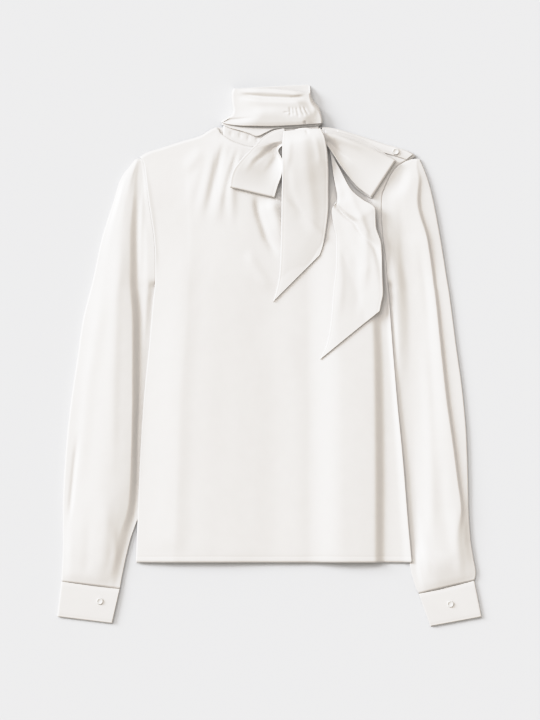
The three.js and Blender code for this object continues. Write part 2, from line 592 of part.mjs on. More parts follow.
// Upper turn: a row for each distance up it. Its relief fades to nothing at both side folds.
const UPPER_WRAP = { low: 338.6, top: 391, backRise: 3, base: 1, sideShare: 0.16, columns: 12 };
const UPPER_WRAP_RELIEF = smoothLine([[0, 2.6], [0.12, 4.6], [0.3, 5.6], [0.5, 5], [0.68, 4.4],
  [0.8, 2], [0.9, 3.4], [1, 1.2]]);
const UPPER_WRAP_TOP = { front: smoothLine([[-54, 386], [-20, 386.5], [25, 384], [57, 379]]),
  back: smoothLine([[-54, 386], [0, 390], [56, 392.5]]) };
const UPPER_WRAP_ROWS = [0, 0.07, 0.16, 0.3, 0.5, 0.68, 0.8, 0.9, 1];
function addUpperWrap() {
  const base = STAND_Z + 2 * WRAP_STEP + UPPER_WRAP.base;
  const sides = (u) => ease(u / UPPER_WRAP.sideShare) * ease((1 - u) / UPPER_WRAP.sideShare);
  const rows = UPPER_WRAP_ROWS.map((v) => {
    const { left, right } = neckSpan(mix(UPPER_WRAP.low, UPPER_WRAP.top, v), 0);
    const xAt = (u) => mix(left, right, u);
    const backEdge = (x) => UPPER_WRAP_EDGE(x) + UPPER_WRAP.backRise;
    return {
      left,
      right,
      upperY: (u) => mix(UPPER_WRAP_EDGE(xAt(u)), UPPER_WRAP_TOP.front(xAt(u)), v),
      lowerY: (u) => mix(backEdge(xAt(u)), UPPER_WRAP_TOP.back(xAt(u)), v),
      topZ: (u) => base + UPPER_WRAP_RELIEF(v) * sides(u),
    };
  });
  const bottom = STAND_BOTTOM - 2 * WRAP_STEP;
  addPiece("neck_wrap_upper", flatRing(rows, bottom, UPPER_WRAP.columns), IVORY);
}
addUpperWrap();

// A sheet ruled between two plan edges, with the height of its upper face at (u, v).
function ruledGrid(edgeA, edgeB, heightAt, columns, rows) {
  const [a, b] = [planPath(edgeA), planPath(edgeB)];
  return rows.map((v) => {
    const [p, q] = [a(v), b(v)];
    return Array.from({ length: columns + 1 }, (_, j) => {
      const u = j / columns;
      const [x, y] = [mix(p[0], q[0], u), mix(p[1], q[1], u)];
      return [x, y, heightAt(u, v, x, y)];
    });
  });
}
const TIE = 1.5; // the tie is two thin plies sewn together
const OVER_FRONT = 2.7; // least height of a tail's upper face over the front that it lies on

// Rear tail: a pleated tail that comes out from under the knot and ends in a slanting edge.
const REAR_TAIL = {
  left: [[68, 312.5], [85.5, 300], [92, 262], [98, 226], [90, 210], [93, 188], [96.5, 170], [96, 130],
    [92, 92], [89, 52], [83, 18], [73, -6]],
  right: [[87, 318], [92, 291], [103, 268], [118, 240], [134, 226], [153, 212], [154, 188],
    [162, 160], [163.5, 116], [164.5, 90], [162, 76], [160, 64.5]],
};
const rearSupport = smoothLine([[60, 5.6], [95, 7], [120, 9.6], [140, 11], [168, 12.6]]);
const rearFromTop = smoothLine([[0, 6], [0.15, 4.6], [0.4, 2.2], [0.75, 0.6], [1, 0]]);
const REAR_FOLD = smoothTable(["v", "at", "rise"], [
  [0, 0, 0], [0.22, 0.01, 1], [0.28, 0.06, 3.4], [0.36, 0.33, 4.6], [0.44, 0.5, 4.4],
  [0.48, 0.58, 4], [0.65, 0.93, 1.8], [0.8, 1.02, 0.4], [1, 1.05, 0],
]);
// Across the tail the pleat rises over a short share, then falls by half over a long one.
const PLEAT = { before: 0.06, riseOver: 0.14, after: 0.1, fallOver: 0.6, fall: 0.5 };
const rearHeight = (u, v, x, y) => {
  const off = u - REAR_FOLD.at(v);
  const rise = ease((off + PLEAT.before) / PLEAT.riseOver);
  const fall = ease((off - PLEAT.after) / PLEAT.fallOver) * PLEAT.fall;
  const support = Math.max(rearSupport(x) + rearFromTop(v), frontHeight(x, y) + OVER_FRONT);
  return support + (rise - fall) * REAR_FOLD.rise(v);
};
const rearTail = ruledGrid(REAR_TAIL.left, REAR_TAIL.right, rearHeight, 12, even(18));
addPiece("tail_rear", wall(rearTail, lowered(rearTail, TIE)), IVORY);

// Knot: the gathered band squeezed between the loops, one rounded body under the front tail.
const KNOT = { x: 50, y: 309, z: 15.9, halfWidth: 26, halfLength: 20, halfHeight: 5.4 };
const knot = new THREE.SphereGeometry(1, 18, 10);
knot.scale(KNOT.halfWidth, KNOT.halfLength, KNOT.halfHeight);
knot.translate(KNOT.x, KNOT.y, KNOT.z);
addPiece("bow_knot", knot, IVORY);

// A loop of the tie: an upper ply from the knot out to the turn, and a lower ply back to the knot.
const TURN_STEPS = 4;
function loopPiece(name, { upper, lower, upperZ, lowerZ, columns, rows, turnOut }) {
  const top = ruledGrid(upper[0], upper[1], upperZ, columns, even(rows));
  const bottom = ruledGrid(lower[0], lower[1], lowerZ, columns, even(rows));
  const outer = [...top];
  const inner = [...lowered(top, TIE)];
  const topEnd = top[rows];
  const bottomEnd = bottom[rows];
  even(TURN_STEPS).slice(1, -1).forEach((k) => {
    const angle = Math.PI / 2 - Math.PI * k;
    const arc = (out, thin) => topEnd.map(([x, y, z], j) => {
      const low = bottomEnd[j];
      const half = (z - low[2] + TIE) / 2;
      const centre = z - half;
      const reach = (out - thin) * Math.cos(angle);
      return [mix(x, low[0], k) + turnOut[0] * reach, mix(y, low[1], k) + turnOut[1] * reach,
        centre + (half - thin) * Math.sin(angle)];
    });
    outer.push(arc(turnOut[2], 0));
    inner.push(arc(turnOut[2], TIE));
  });
  outer.push(...lowered([...bottom].reverse(), TIE));
  inner.push(...[...bottom].reverse());
  addPiece(name, wall(outer, inner), IVORY);
}

const LOOP_CLEAR = 0.8;
const OVER_STAND = STAND_Z + WRAP_STEP + LOWER_WRAP.swell;
const STAND_FROM = { y: 284, over: 20 }; // where the left loop's lower ply climbs onto the stand
const DISH_FULLNESS = 0.8;
const dish = (u, v, sink) => sink * Math.sin(Math.PI * u) * Math.sin(Math.PI * v) ** DISH_FULLNESS;
loopPiece("loop_left", {
  upper: [
    [[22, 312], [-4, 306.5], [-20, 303], [-32, 292], [-42, 281.5], [-52, 268], [-56, 255], [-57, 246]],
    [[22.5, 307], [12, 296], [19, 279], [17.5, 262], [12, 245], [8, 231]],
  ],
  lower: [
    [[22, 329], [8, 326], [-8, 317], [-20, 305], [-32, 292], [-44, 277], [-52, 262], [-57, 247]],
    [[26, 306], [20, 298], [18, 282], [17, 262], [12, 245], [8, 231]],
  ],
  upperZ: (u, v) => 16 + 5 * ease(v) - dish(u, v, 4.5) + 1.5 * (1 - u),
  lowerZ: (u, v, x, y) => {
    const onStand = ease((y - STAND_FROM.y) / STAND_FROM.over);
    return mix(frontHeight(x, y), OVER_STAND, onStand) + LOOP_CLEAR + TIE;
  },
  columns: 8,
  rows: 9,
  turnOut: [-0.25, -0.97, 4],
});
loopPiece("loop_right", {
  upper: [
    [[77.4, 321], [90, 320.5], [110, 314], [138, 304], [160, 293], [180, 283]],
    [[77.4, 311], [88, 296], [106, 270], [120, 252], [131, 241], [145, 231]],
  ],
  lower: [
    [[80, 327], [100, 324], [127, 316.5], [146, 306.5], [164, 295], [181, 283.5]],
    [[82, 306], [92, 288], [110, 262], [124, 243], [134, 235], [146, 228]],
  ],
  upperZ: (u, v) => 15.5 + 5 * ease(v) - dish(u, v, 2),
  lowerZ: (u, v, x, y) => frontHeight(x, y) + LOOP_CLEAR + TIE + PLY_GAP + CLOTH,
  columns: 8,
  rows: 9,
  turnOut: [0.86, -0.5, 4],
});

// Front tail: it comes over the knot and hangs to a slanting end.
const FRONT_TAIL = {
  left: [[20.5, 324], [18.5, 305], [18.3, 268], [17.5, 225], [16.5, 168], [14.5, 120], [9, 90],
    [5, 77.5]],
  right: [[74, 328], [80, 314], [84, 290], [85.5, 262], [85.5, 218], [82, 182], [78, 160],
    [73, 145.5]],
};
const frontTailBase = smoothTable(["v", "z"], [
  [0, 20.9], [0.1, 22.9], [0.22, 20.8], [0.4, 15.2], [0.6, 11], [0.8, 9], [1, 6.8],
]);
const CROWN = { height: 2.2, from: 0.08 };
const CREASE = { x: 52, y: 196, slope: 0.92, width: 9, height: 1.1 }; // a soft slanting ridge
const frontTailHeight = (u, v, x, y) => {
  const crown = CROWN.height * Math.sin(Math.PI * u) * (1 - v) * ease(v / CROWN.from);
  const off = (y - CREASE.y + CREASE.slope * (x - CREASE.x)) / CREASE.width;
  const support = Math.max(frontTailBase.z(v), frontHeight(x, y) + OVER_FRONT);
  return support + crown + CREASE.height * Math.exp(-(off ** 2));
};
const frontTail = ruledGrid(FRONT_TAIL.left, FRONT_TAIL.right, frontTailHeight, 9, even(18));
addPiece("tail_front", wall(frontTail, lowered(frontTail, TIE)), IVORY);

export default blouse;
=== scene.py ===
import bmesh
import bpy
import numpy as np
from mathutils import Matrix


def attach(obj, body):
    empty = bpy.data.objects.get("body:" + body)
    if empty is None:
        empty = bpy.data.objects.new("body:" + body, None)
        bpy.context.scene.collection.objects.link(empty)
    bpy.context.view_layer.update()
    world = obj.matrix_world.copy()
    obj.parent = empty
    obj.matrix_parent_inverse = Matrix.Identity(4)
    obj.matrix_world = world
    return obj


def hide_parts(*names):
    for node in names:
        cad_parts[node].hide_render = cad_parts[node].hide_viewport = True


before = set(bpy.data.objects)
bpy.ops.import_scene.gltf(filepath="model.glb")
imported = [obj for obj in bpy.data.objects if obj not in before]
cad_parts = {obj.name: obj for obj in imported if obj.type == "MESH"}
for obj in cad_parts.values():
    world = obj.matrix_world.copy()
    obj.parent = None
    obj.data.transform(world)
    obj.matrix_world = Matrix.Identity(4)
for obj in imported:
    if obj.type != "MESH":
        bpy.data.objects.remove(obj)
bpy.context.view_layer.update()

# Body: a front and a back panel cut from soft ivory satin, sewn at the sides and the shoulders.
# The garment lies on its back, so both panels lie on each other and rise and fall together.
# The front is gathered into the neckline, and soft folds run from there along its length.
MM = 0.001
CLOTH = 1.2  # one ply of the frame's solids
SEAM_GAP = 0.3
PLY_GAP = 0.65
FLAT_STACK = 2 * CLOTH + PLY_GAP
STEEPEST = 2.2
SATIN = 0.5  # the real cloth

TIP_Y = 288
UNDERARM_Y = 109.5
HEM_Y = -300
NECK = {"x": 1, "y": 345, "wide": 78, "high": 42, "lift": 3.1, "from": 1.12, "fade": 1}


def soft_between(t, knots, values):
    """A smooth curve through rising knots that never overshoots. Either may hold arrays."""
    t = np.asarray(t, dtype=float)
    knots = [knot + 0 * t for knot in knots]
    values = [value + 0 * t for value in values]
    runs = [b - a for a, b in zip(knots, knots[1:])]
    chords = [(b - a) / run for a, b, run in zip(values, values[1:], runs)]
    inner = []
    for before, after in zip(chords, chords[1:]):
        same_way = before * after > 0
        total = np.where(same_way, before + after, 1)
        inner.append(np.where(same_way, 2 * before * after / total, 0))
    slopes = [chords[0], *inner, chords[-1]]
    curve = np.where(t >= knots[-1], values[-1], values[0])
    for i, run in enumerate(runs):
        s = (t - knots[i]) / run
        r = 1 - s
        part = values[i] * r * r * (1 + 2 * s) + values[i + 1] * s * s * (3 - 2 * s)
        part = part + run * s * r * (slopes[i] * r - slopes[i + 1] * s)
        curve = np.where((s >= 0) & (s < 1), part, curve)
    return curve


def soft_line(points):
    knots = [point[0] for point in points]
    values = [point[1] for point in points]
    return lambda t: soft_between(t, knots, values)


def soft_table(names, rows):
    """The columns of a table as smooth lines over its first column."""
    rows = sorted(rows)
    return {name: soft_line([(row[0], row[i]) for row in rows]) for i, name in enumerate(names) if i}


def mix(a, b, t):
    return a + (b - a) * t


def ease(t):
    s = np.clip(t, 0, 1)
    return s * s * (3 - 2 * s)


BODY_EDGES = soft_table(
    ["y", "left", "right"],
    [
        [TIP_Y, -187.8, 212.4],
        [283, -184.5, 200.8],
        [273.5, -181.5, 184.5],
        [254.5, -179, 172],
        [225.5, -175.5, 162.5],
        [203, -172, 162.2],
        [167.5, -167, 164.6],
        [138, -165.5, 168.5],
        [UNDERARM_Y, -165.5, 170.4],
        [80, -168.5, 173.3],
        [22, -173.5, 177.6],
        [-64, -182, 184.9],
        [-151, -187.5, 193.6],
        [-238, -191, 200.8],
        [HEM_Y, -193.6, 206.6],
    ],
)
SHOULDER_LEFT = [
    [-187.8, TIP_Y], [-176, 295], [-158.8, 300], [-129.8, 309.5], [-100.8, 317.8], [-75, 330.5],
]
SHOULDER_RIGHT = [
    [77, 331], [88, 330], [125.4, 320.3], [167.5, 306.7], [196.5, 298], [208, 292.5], [212.4, TIP_Y],
]
FRONT_NECKLINE = [
    [-71, 323], [-64.5, 318.5], [-54.4, 311.5], [-42.8, 306.5], [-31, 303],
    [-19.6, 301.5], [10, 298], [40, 299], [60, 306], [72, 319],
]
BACK_NECKLINE = [[-40, 329], [0, 327.5], [40, 329]]
front_top = soft_line(SHOULDER_LEFT + FRONT_NECKLINE + SHOULDER_RIGHT)
back_top = soft_line(SHOULDER_LEFT + BACK_NECKLINE + SHOULDER_RIGHT)

# Heights across the body, from the viewer's left: edge, long ridge, the low cloth between foot and
# far, the shoulder of the right fold, its valley, the strip at the side, and the right edge.
BODY_SECTIONS = soft_table(
    ["y", "edge_z", "ridge", "ridge_z", "foot", "far", "shoulder", "shoulder_z",
     "valley", "valley_z", "side", "side_z", "right_z"],
    [
        [330, 3.2, -125, 3.4, 0, 60, 90, 3.2, 120, 3.2, 165, 3.2, 3.2],
        [TIP_Y, 3.6, -120, 4.4, 0, 60, 90, 3.2, 125, 3.2, 165, 3.5, 3.3],
        [225, 6.6, -115, 6.6, 10, 42, 84, 4.2, 140, 3.6, 153, 6.4, 6.2],
        [168, 7.4, -114, 8.4, 16, 48, 92, 6.4, 150, 3.6, 159, 6, 7],
        [UNDERARM_Y, 6.8, -116, 9.6, 18, 52, 98, 8.4, 157, 3.2, 165, 4.4, 7.6],
        [22, 5.4, -121, 9.8, 18, 54, 102, 10.4, 164, 3.1, 173, 3.3, 7.2],
        [-64, 5.2, -128, 9.8, 16, 54, 106, 11.6, 166, 3.1, 179, 3.3, 7.2],
        [-180, 5, -132, 9.2, 14, 54, 108, 12, 167, 3.1, 186, 3.4, 7.2],
        [HEM_Y, 4.6, -138, 8.2, 12, 54, 110, 11, 167, 3.1, 194, 3.6, 6.6],
    ],
)
# The left ridge breaks off sharply and then falls away slowly.
RIDGE_BREAK = {"before": 5, "drop": 0.3, "after": 22, "fallen": 0.1}
# The right fold keeps its height up to a brink, and falls from there into the long valley.
BRINK = {"before": 15, "fallen": 0.16}


def neck_lift(x, y):
    reach = np.hypot((x - NECK["x"]) / NECK["wide"], (y - NECK["y"]) / NECK["high"])
    return NECK["lift"] * ease(1 - (reach - NECK["from"]) / NECK["fade"])


def body_height(x, y):
    """Height of the upper face of the two panels where they lie on each other."""
    s = {name: line(y) for name, line in BODY_SECTIONS.items()}
    near_ridge, past_ridge = s["ridge"] - RIDGE_BREAK["before"], s["ridge"] + RIDGE_BREAK["after"]
    near_z = s["ridge_z"] - RIDGE_BREAK["drop"] * ease((s["ridge_z"] - FLAT_STACK) / 3)
    past_z = mix(s["ridge_z"], FLAT_STACK, RIDGE_BREAK["fallen"])
    brink_z = mix(s["shoulder_z"], s["valley_z"], BRINK["fallen"])
    knots = [BODY_EDGES["left"](y), near_ridge, s["ridge"], past_ridge, s["foot"], s["far"], s["shoulder"],
             s["valley"] - BRINK["before"], s["valley"], s["side"], BODY_EDGES["right"](y)]
    heights = [s["edge_z"], near_z, s["ridge_z"], past_z, FLAT_STACK, FLAT_STACK, s["shoulder_z"],
               brink_z, s["valley_z"], s["side_z"], s["right_z"]]
    return np.maximum(soft_between(x, knots, heights), FLAT_STACK) + neck_lift(x, y)


def lay_folds(x, y, folds):
    """Soft ridges and troughs. Each follows a line of points, with its own width on either side."""
    total = np.zeros_like(x)
    for points, left, right, height, fade_in, fade_out in folds:
        points = np.array(points, dtype=float)
        lengths = np.hypot(*(points[1:] - points[:-1]).T)
        best = np.full_like(x, 1e9)
        side = np.zeros_like(x)
        share = np.zeros_like(x)
        for i, length in enumerate(lengths):
            ax, ay = (points[i + 1] - points[i]) / length
            dx, dy = x - points[i][0], y - points[i][1]
            along = dx * ax + dy * ay
            held = np.clip(along, 0, length)
            off = np.hypot(dx - held * ax, dy - held * ay)
            nearer = off < best
            best = np.where(nearer, off, best)
            side = np.where(nearer, dx * ay - dy * ax, side)
            share = np.where(nearer, (lengths[:i].sum() + held) / lengths.sum(), share)
        width = np.where(side > 0, right, left)
        fade = ease(share / fade_in) * ease((1 - share) / fade_out)
        total += height * fade * np.exp(-((best / width) ** 2))
    return total


# Gathers and folds that the loops and tails lie on too, then the finer ones of the front alone.
# Each has its line, its width on either side, its height, and the shares over which its ends fade.
FRONT_FOLDS = [
    ([(-79, 308), (-104, 188)], 7, 8, 2.1, 0.25, 0.45),
    ([(-54, 300), (-82, 182)], 7, 8, 2.3, 0.25, 0.45),
    ([(-40, 296), (-56, 240), (-53, 180)], 7, 6, 2.4, 0.25, 0.45),
    ([(-98, 300), (-124, 262)], 7, 8, 1.5, 0.25, 0.45),
    ([(0, 226), (22, 158)], 10, 9, 4.6, 0.15, 0.5),
    ([(-20, 232), (-15, 205), (-4, 172), (14, 141)], 5, 5, -3.4, 0.15, 0.35),
    ([(-36, 150), (6, 92)], 7, 7, 1.4, 0.25, 0.45),
]
FINE_FRONT_FOLDS = [
    ([(-66, 309), (-77, 262), (-94, 196)], 4, 5, -1.1, 0.2, 0.5),
    ([(-45, 300), (-60, 250), (-72, 200)], 4, 4, -1.1, 0.2, 0.5),
    ([(-90, 309), (-108, 250), (-122, 200)], 7, 9, 1.1, 0.3, 0.5),
    ([(-70, 314), (-78, 286), (-82, 262)], 2.5, 3, 0.8, 0.3, 0.6),
    ([(-60, 309), (-67, 280), (-72, 250)], 2.5, 3, 0.8, 0.3, 0.6),
    ([(-49, 304), (-55, 280), (-60, 256)], 2.2, 3, 0.8, 0.3, 0.6),
    ([(-41, 301), (-46, 280), (-50, 262)], 2.2, 3, 0.8, 0.3, 0.6),
    ([(-30, 298), (-34, 280), (-38, 262)], 2.2, 3, 0.7, 0.3, 0.6),
    ([(-60, 240), (-52, 205), (-49, 178)], 10, 12, -0.6, 0.4, 0.4),
    ([(-44, 128), (-14, 106), (22, 98)], 6, 8, 0.7, 0.3, 0.5),
    ([(-130, 190), (-128, 120), (-134, -60), (-139, -290)], 16, 26, 1.3, 0.15, 0.05),
    ([(-185.5, 284), (-176, 240), (-169.5, 195), (-165.5, 150), (-163.5, 116)], 2.2, 2.6, 1.1, 0.1, 0.2),
    ([(-84, 172), (-90, 60), (-92, -100), (-96, -300)], 20, 30, 0.5, 0.3, 0.05),
    ([(-20, 60), (-22, -80), (-26, -300)], 24, 34, 0.7, 0.4, 0.05),
    ([(36, 40), (44, -90), (48, -300)], 26, 30, 0.6, 0.4, 0.05),
    ([(86, -20), (90, -160), (94, -300)], 12, 18, 0.5, 0.4, 0.05),
    ([(0, 72), (26, 10), (40, -60)], 14, 20, 0.5, 0.4, 0.6),
]


LOFT = {"high": 3, "rise": 90, "fall": 72, "top": 322, "fade": 16}


def front_height(x, y):
    """The front floats a little over the back between its two long ridges."""
    s = {name: BODY_SECTIONS[name](y) for name in ("ridge", "shoulder")}
    between = ease((x - s["ridge"]) / LOFT["rise"]) * ease((s["shoulder"] - x) / LOFT["fall"])
    loft = LOFT["high"] * between * ease((LOFT["top"] - y) / LOFT["fade"])
    return body_height(x, y) + loft + lay_folds(x, y, FRONT_FOLDS)


def body_plan(u, v, top_line):
    y = mix(HEM_Y, TIP_Y, v)
    top_x = mix(BODY_EDGES["left"](TIP_Y), BODY_EDGES["right"](TIP_Y), u)
    return mix(BODY_EDGES["left"](y), BODY_EDGES["right"](y), u), y + v * (top_line(top_x) - TIP_Y)


def ply_height(z, x, y):
    """How much taller the frame's ply is when cut upright, on the slopes of a grid of heights."""
    dz = np.gradient(z, axis=1) / np.maximum(np.hypot(np.gradient(x, axis=1), np.gradient(y, axis=1)), 0.05)
    return np.minimum(CLOTH * np.minimum(np.hypot(1, dz), STEEPEST), (z - PLY_GAP) / 2)


def soften(z, times=2):
    """Rounds off the small breaks between the spans of a grid of heights."""
    for _ in range(times):
        padded = np.pad(z, 1, mode="edge")
        z = (2 * padded[1:-1, 1:-1] + padded[:-2, 1:-1] + padded[2:, 1:-1]) / 4
        padded = np.pad(z, 1, mode="edge")
        z = (2 * padded[1:-1, 1:-1] + padded[1:-1, :-2] + padded[1:-1, 2:]) / 4
    return z


def cut_cloth(name, columns, rows, place, finish, cut, thickness=SATIN, closed=False):
    """A sheet of cloth: a grid laid by place(u, v), with its cut size in metres on its UV map."""
    bm = bmesh.new()
    bmesh.ops.create_grid(bm, x_segments=columns, y_segments=rows, size=0.5)
    share = np.array([vert.co[:2] for vert in bm.verts]) + 0.5
    order = np.lexsort((share[:, 0].round(6), share[:, 1].round(6)))
    u = share[order, 0].reshape(rows + 1, columns + 1)
    v = share[order, 1].reshape(rows + 1, columns + 1)
    uv_layer = bm.loops.layers.uv.new("cut")
    for face in bm.faces:
        for loop in face.loops:
            co = loop.vert.co
            loop[uv_layer].uv = ((co.x + 0.5) * cut[0], (co.y + 0.5) * cut[1])
    points = np.stack([grid.reshape(-1) for grid in place(u, v)], axis=1) * MM
    bm.verts.ensure_lookup_table()
    for index, point in zip(order, points):
        bm.verts[index].co = point
    if closed:
        bmesh.ops.remove_doubles(bm, verts=bm.verts, dist=1e-6)
    for face in bm.faces:
        face.smooth = True
    mesh = bpy.data.meshes.new(name)
    bm.to_mesh(mesh)
    bm.free()
    piece = bpy.data.objects.new(name, mesh)
    bpy.context.scene.collection.objects.link(piece)
    mesh.materials.append(finish)
    wall = piece.modifiers.new("cloth", "SOLIDIFY")
    wall.thickness = thickness * MM
    wall.offset = -1
    return piece


def node_group(name, inputs, outputs):
    tree = bpy.data.node_groups.new(name, "ShaderNodeTree")
    for socket, kind, value in inputs:
        made = tree.interface.new_socket(socket, in_out="INPUT", socket_type=kind)
        if value is not None:
            made.default_value = value
    for socket, kind in outputs:
        tree.interface.new_socket(socket, in_out="OUTPUT", socket_type=kind)
    return tree, tree.nodes.new("NodeGroupInput"), tree.nodes.new("NodeGroupOutput")


def maths(tree, operation, *values):
    node = tree.nodes.new("ShaderNodeMath")
    node.operation = operation
    for socket, value in zip(node.inputs, values):
        if isinstance(value, (int, float)):
            socket.default_value = value
        else:
            tree.links.new(value, socket)
    return node.outputs[0]


# Satin threads: long floats in one direction, with slow unevenness in tone and height.
threads, given, made = node_group(
    "satin_threads",
    [("Cut", "NodeSocketVector", None), ("Float", "NodeSocketFloat", 900.0),
     ("Pitch", "NodeSocketFloat", 4200.0), ("Tone", "NodeSocketColor", (0.8, 0.8, 0.8, 1))],
    [("Color", "NodeSocketColor"), ("Roughness", "NodeSocketFloat"), ("Height", "NodeSocketFloat"),
     ("Drape", "NodeSocketFloat")],
)
stretch = threads.nodes.new("ShaderNodeCombineXYZ")
threads.links.new(given.outputs["Pitch"], stretch.inputs[0])
threads.links.new(given.outputs["Float"], stretch.inputs[1])
scaled = threads.nodes.new("ShaderNodeVectorMath")
scaled.operation = "MULTIPLY"
threads.links.new(given.outputs["Cut"], scaled.inputs[0])
threads.links.new(stretch.outputs[0], scaled.inputs[1])
yarn = threads.nodes.new("ShaderNodeTexNoise")
yarn.inputs["Scale"].default_value = 1.0
yarn.inputs["Detail"].default_value = 2.0
threads.links.new(scaled.outputs[0], yarn.inputs["Vector"])
slub = threads.nodes.new("ShaderNodeTexNoise")
slub.inputs["Scale"].default_value = 60.0
slub.inputs["Detail"].default_value = 3.0
threads.links.new(given.outputs["Cut"], slub.inputs["Vector"])
drape = threads.nodes.new("ShaderNodeTexNoise")
drape.inputs["Scale"].default_value = 16.0
drape.inputs["Detail"].default_value = 1.0
threads.links.new(given.outputs["Cut"], drape.inputs["Vector"])
tone = threads.nodes.new("ShaderNodeHueSaturation")
threads.links.new(given.outputs["Tone"], tone.inputs["Color"])
lightness = maths(threads, "MULTIPLY_ADD", slub.outputs["Fac"], 0.05, 0.975)
lightness = maths(threads, "ADD", lightness, maths(threads, "MULTIPLY", yarn.outputs["Fac"], 0.02))
threads.links.new(maths(threads, "SUBTRACT", lightness, 0.01), tone.inputs["Value"])
threads.links.new(tone.outputs["Color"], made.inputs["Color"])
rough = maths(threads, "MULTIPLY_ADD", slub.outputs["Fac"], 0.10, 0.42)
threads.links.new(rough, made.inputs["Roughness"])
threads.links.new(yarn.outputs["Fac"], made.inputs["Height"])
threads.links.new(drape.outputs["Fac"], made.inputs["Drape"])

# A row of stitches at a distance from a cut edge: small pits and the slack cloth between them.
stitch_row, given, made = node_group(
    "stitch_row",
    [("Along", "NodeSocketFloat", None), ("Off", "NodeSocketFloat", None),
     ("Spacing", "NodeSocketFloat", 0.0026), ("Width", "NodeSocketFloat", 0.0007)],
    [("Stitch", "NodeSocketFloat"), ("Groove", "NodeSocketFloat")],
)
beat = maths(stitch_row, "DIVIDE", given.outputs["Along"], given.outputs["Spacing"])
dash = maths(stitch_row, "LESS_THAN", maths(stitch_row, "FRACT", beat), 0.72)
distance = maths(stitch_row, "ABSOLUTE", given.outputs["Off"])
away = maths(stitch_row, "DIVIDE", distance, given.outputs["Width"])
on_row = maths(stitch_row, "SUBTRACT", 1.0, away)
on_row = maths(stitch_row, "MAXIMUM", on_row, 0.0)
stitch_row.links.new(maths(stitch_row, "MULTIPLY", on_row, dash), made.inputs["Stitch"])
soft_away = maths(stitch_row, "MULTIPLY", away, away)
groove = maths(stitch_row, "ADD", maths(stitch_row, "MULTIPLY", soft_away, 0.2), 1.0)
groove = maths(stitch_row, "DIVIDE", 1.0, groove)
stitch_row.links.new(groove, made.inputs["Groove"])

IVORY = (0.66, 0.635, 0.602, 1)
THREAD = (0.70, 0.66, 0.61, 1)


def satin(name, cut, tone=IVORY, stitches=(), drape=0.0006):
    """Satin finish. Each stitch row is ("u" or "v", place in metres) and runs across that way."""
    material = bpy.data.materials.new(name)
    material.use_nodes = True
    tree = material.node_tree
    shader = tree.nodes["Principled BSDF"]
    uv = tree.nodes.new("ShaderNodeUVMap")
    uv.uv_map = "cut"
    weave = tree.nodes.new("ShaderNodeGroup")
    weave.node_tree = threads
    weave.inputs["Tone"].default_value = tone
    tree.links.new(uv.outputs[0], weave.inputs["Cut"])
    color = weave.outputs["Color"]
    fine = tree.nodes.new("ShaderNodeBump")
    fine.inputs["Strength"].default_value = 0.25
    fine.inputs["Distance"].default_value = 0.00008
    tree.links.new(weave.outputs["Height"], fine.inputs["Height"])
    broad = tree.nodes.new("ShaderNodeBump")
    broad.inputs["Strength"].default_value = 1.0
    broad.inputs["Distance"].default_value = drape
    tree.links.new(weave.outputs["Drape"], broad.inputs["Height"])
    tree.links.new(fine.outputs[0], broad.inputs["Normal"])
    normal = broad.outputs[0]
    split = tree.nodes.new("ShaderNodeSeparateXYZ")
    tree.links.new(uv.outputs[0], split.inputs[0])
    for way, place in stitches:
        row = tree.nodes.new("ShaderNodeGroup")
        row.node_tree = stitch_row
        off_axis, along_axis = (0, 1) if way == "u" else (1, 0)
        tree.links.new(split.outputs[along_axis], row.inputs["Along"])
        tree.links.new(maths(tree, "SUBTRACT", split.outputs[off_axis], place), row.inputs["Off"])
        blend = tree.nodes.new("ShaderNodeMix")
        blend.data_type = "RGBA"
        tree.links.new(row.outputs["Stitch"], blend.inputs["Factor"])
        tree.links.new(color, blend.inputs[6])
        blend.inputs[7].default_value = THREAD
        color = blend.outputs[2]
        pit = tree.nodes.new("ShaderNodeBump")
        pit.invert = True
        pit.inputs["Strength"].default_value = 0.4
        pit.inputs["Distance"].default_value = 0.0005
        tree.links.new(row.outputs["Groove"], pit.inputs["Height"])
        tree.links.new(normal, pit.inputs["Normal"])
        normal = pit.outputs[0]
    tree.links.new(color, shader.inputs["Base Color"])
    tree.links.new(weave.outputs["Roughness"], shader.inputs["Roughness"])
    tree.links.new(normal, shader.inputs["Normal"])
    shader.inputs["Specular IOR Level"].default_value = 0.7
    shader.inputs["Sheen Weight"].default_value = 0.3
    shader.inputs["Sheen Roughness"].default_value = 0.4
    return material


BODY_CUT = (0.46, 0.64)
HEM_STITCH = 0.009


def front_place(u, v):
    x, y = body_plan(u, v, front_top)
    return x, y, soften(front_height(x, y) + lay_folds(x, y, FINE_FRONT_FOLDS))


def back_place(u, v):
    x, y = body_plan(u, v, back_top)
    z = body_height(x, y)
    return x, y, soften(z - ply_height(z, x, y) - PLY_GAP)


front_satin = satin("satin_front", BODY_CUT, stitches=[("v", HEM_STITCH)])
front = cut_cloth("front_cloth", 200, 170, front_place, front_satin, BODY_CUT)
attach(front, "root")
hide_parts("front")

back_satin = satin("satin_back", BODY_CUT, stitches=[("v", HEM_STITCH)])
back = cut_cloth("back_cloth", 110, 110, back_place, back_satin, BODY_CUT)
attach(back, "root")
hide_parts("back")

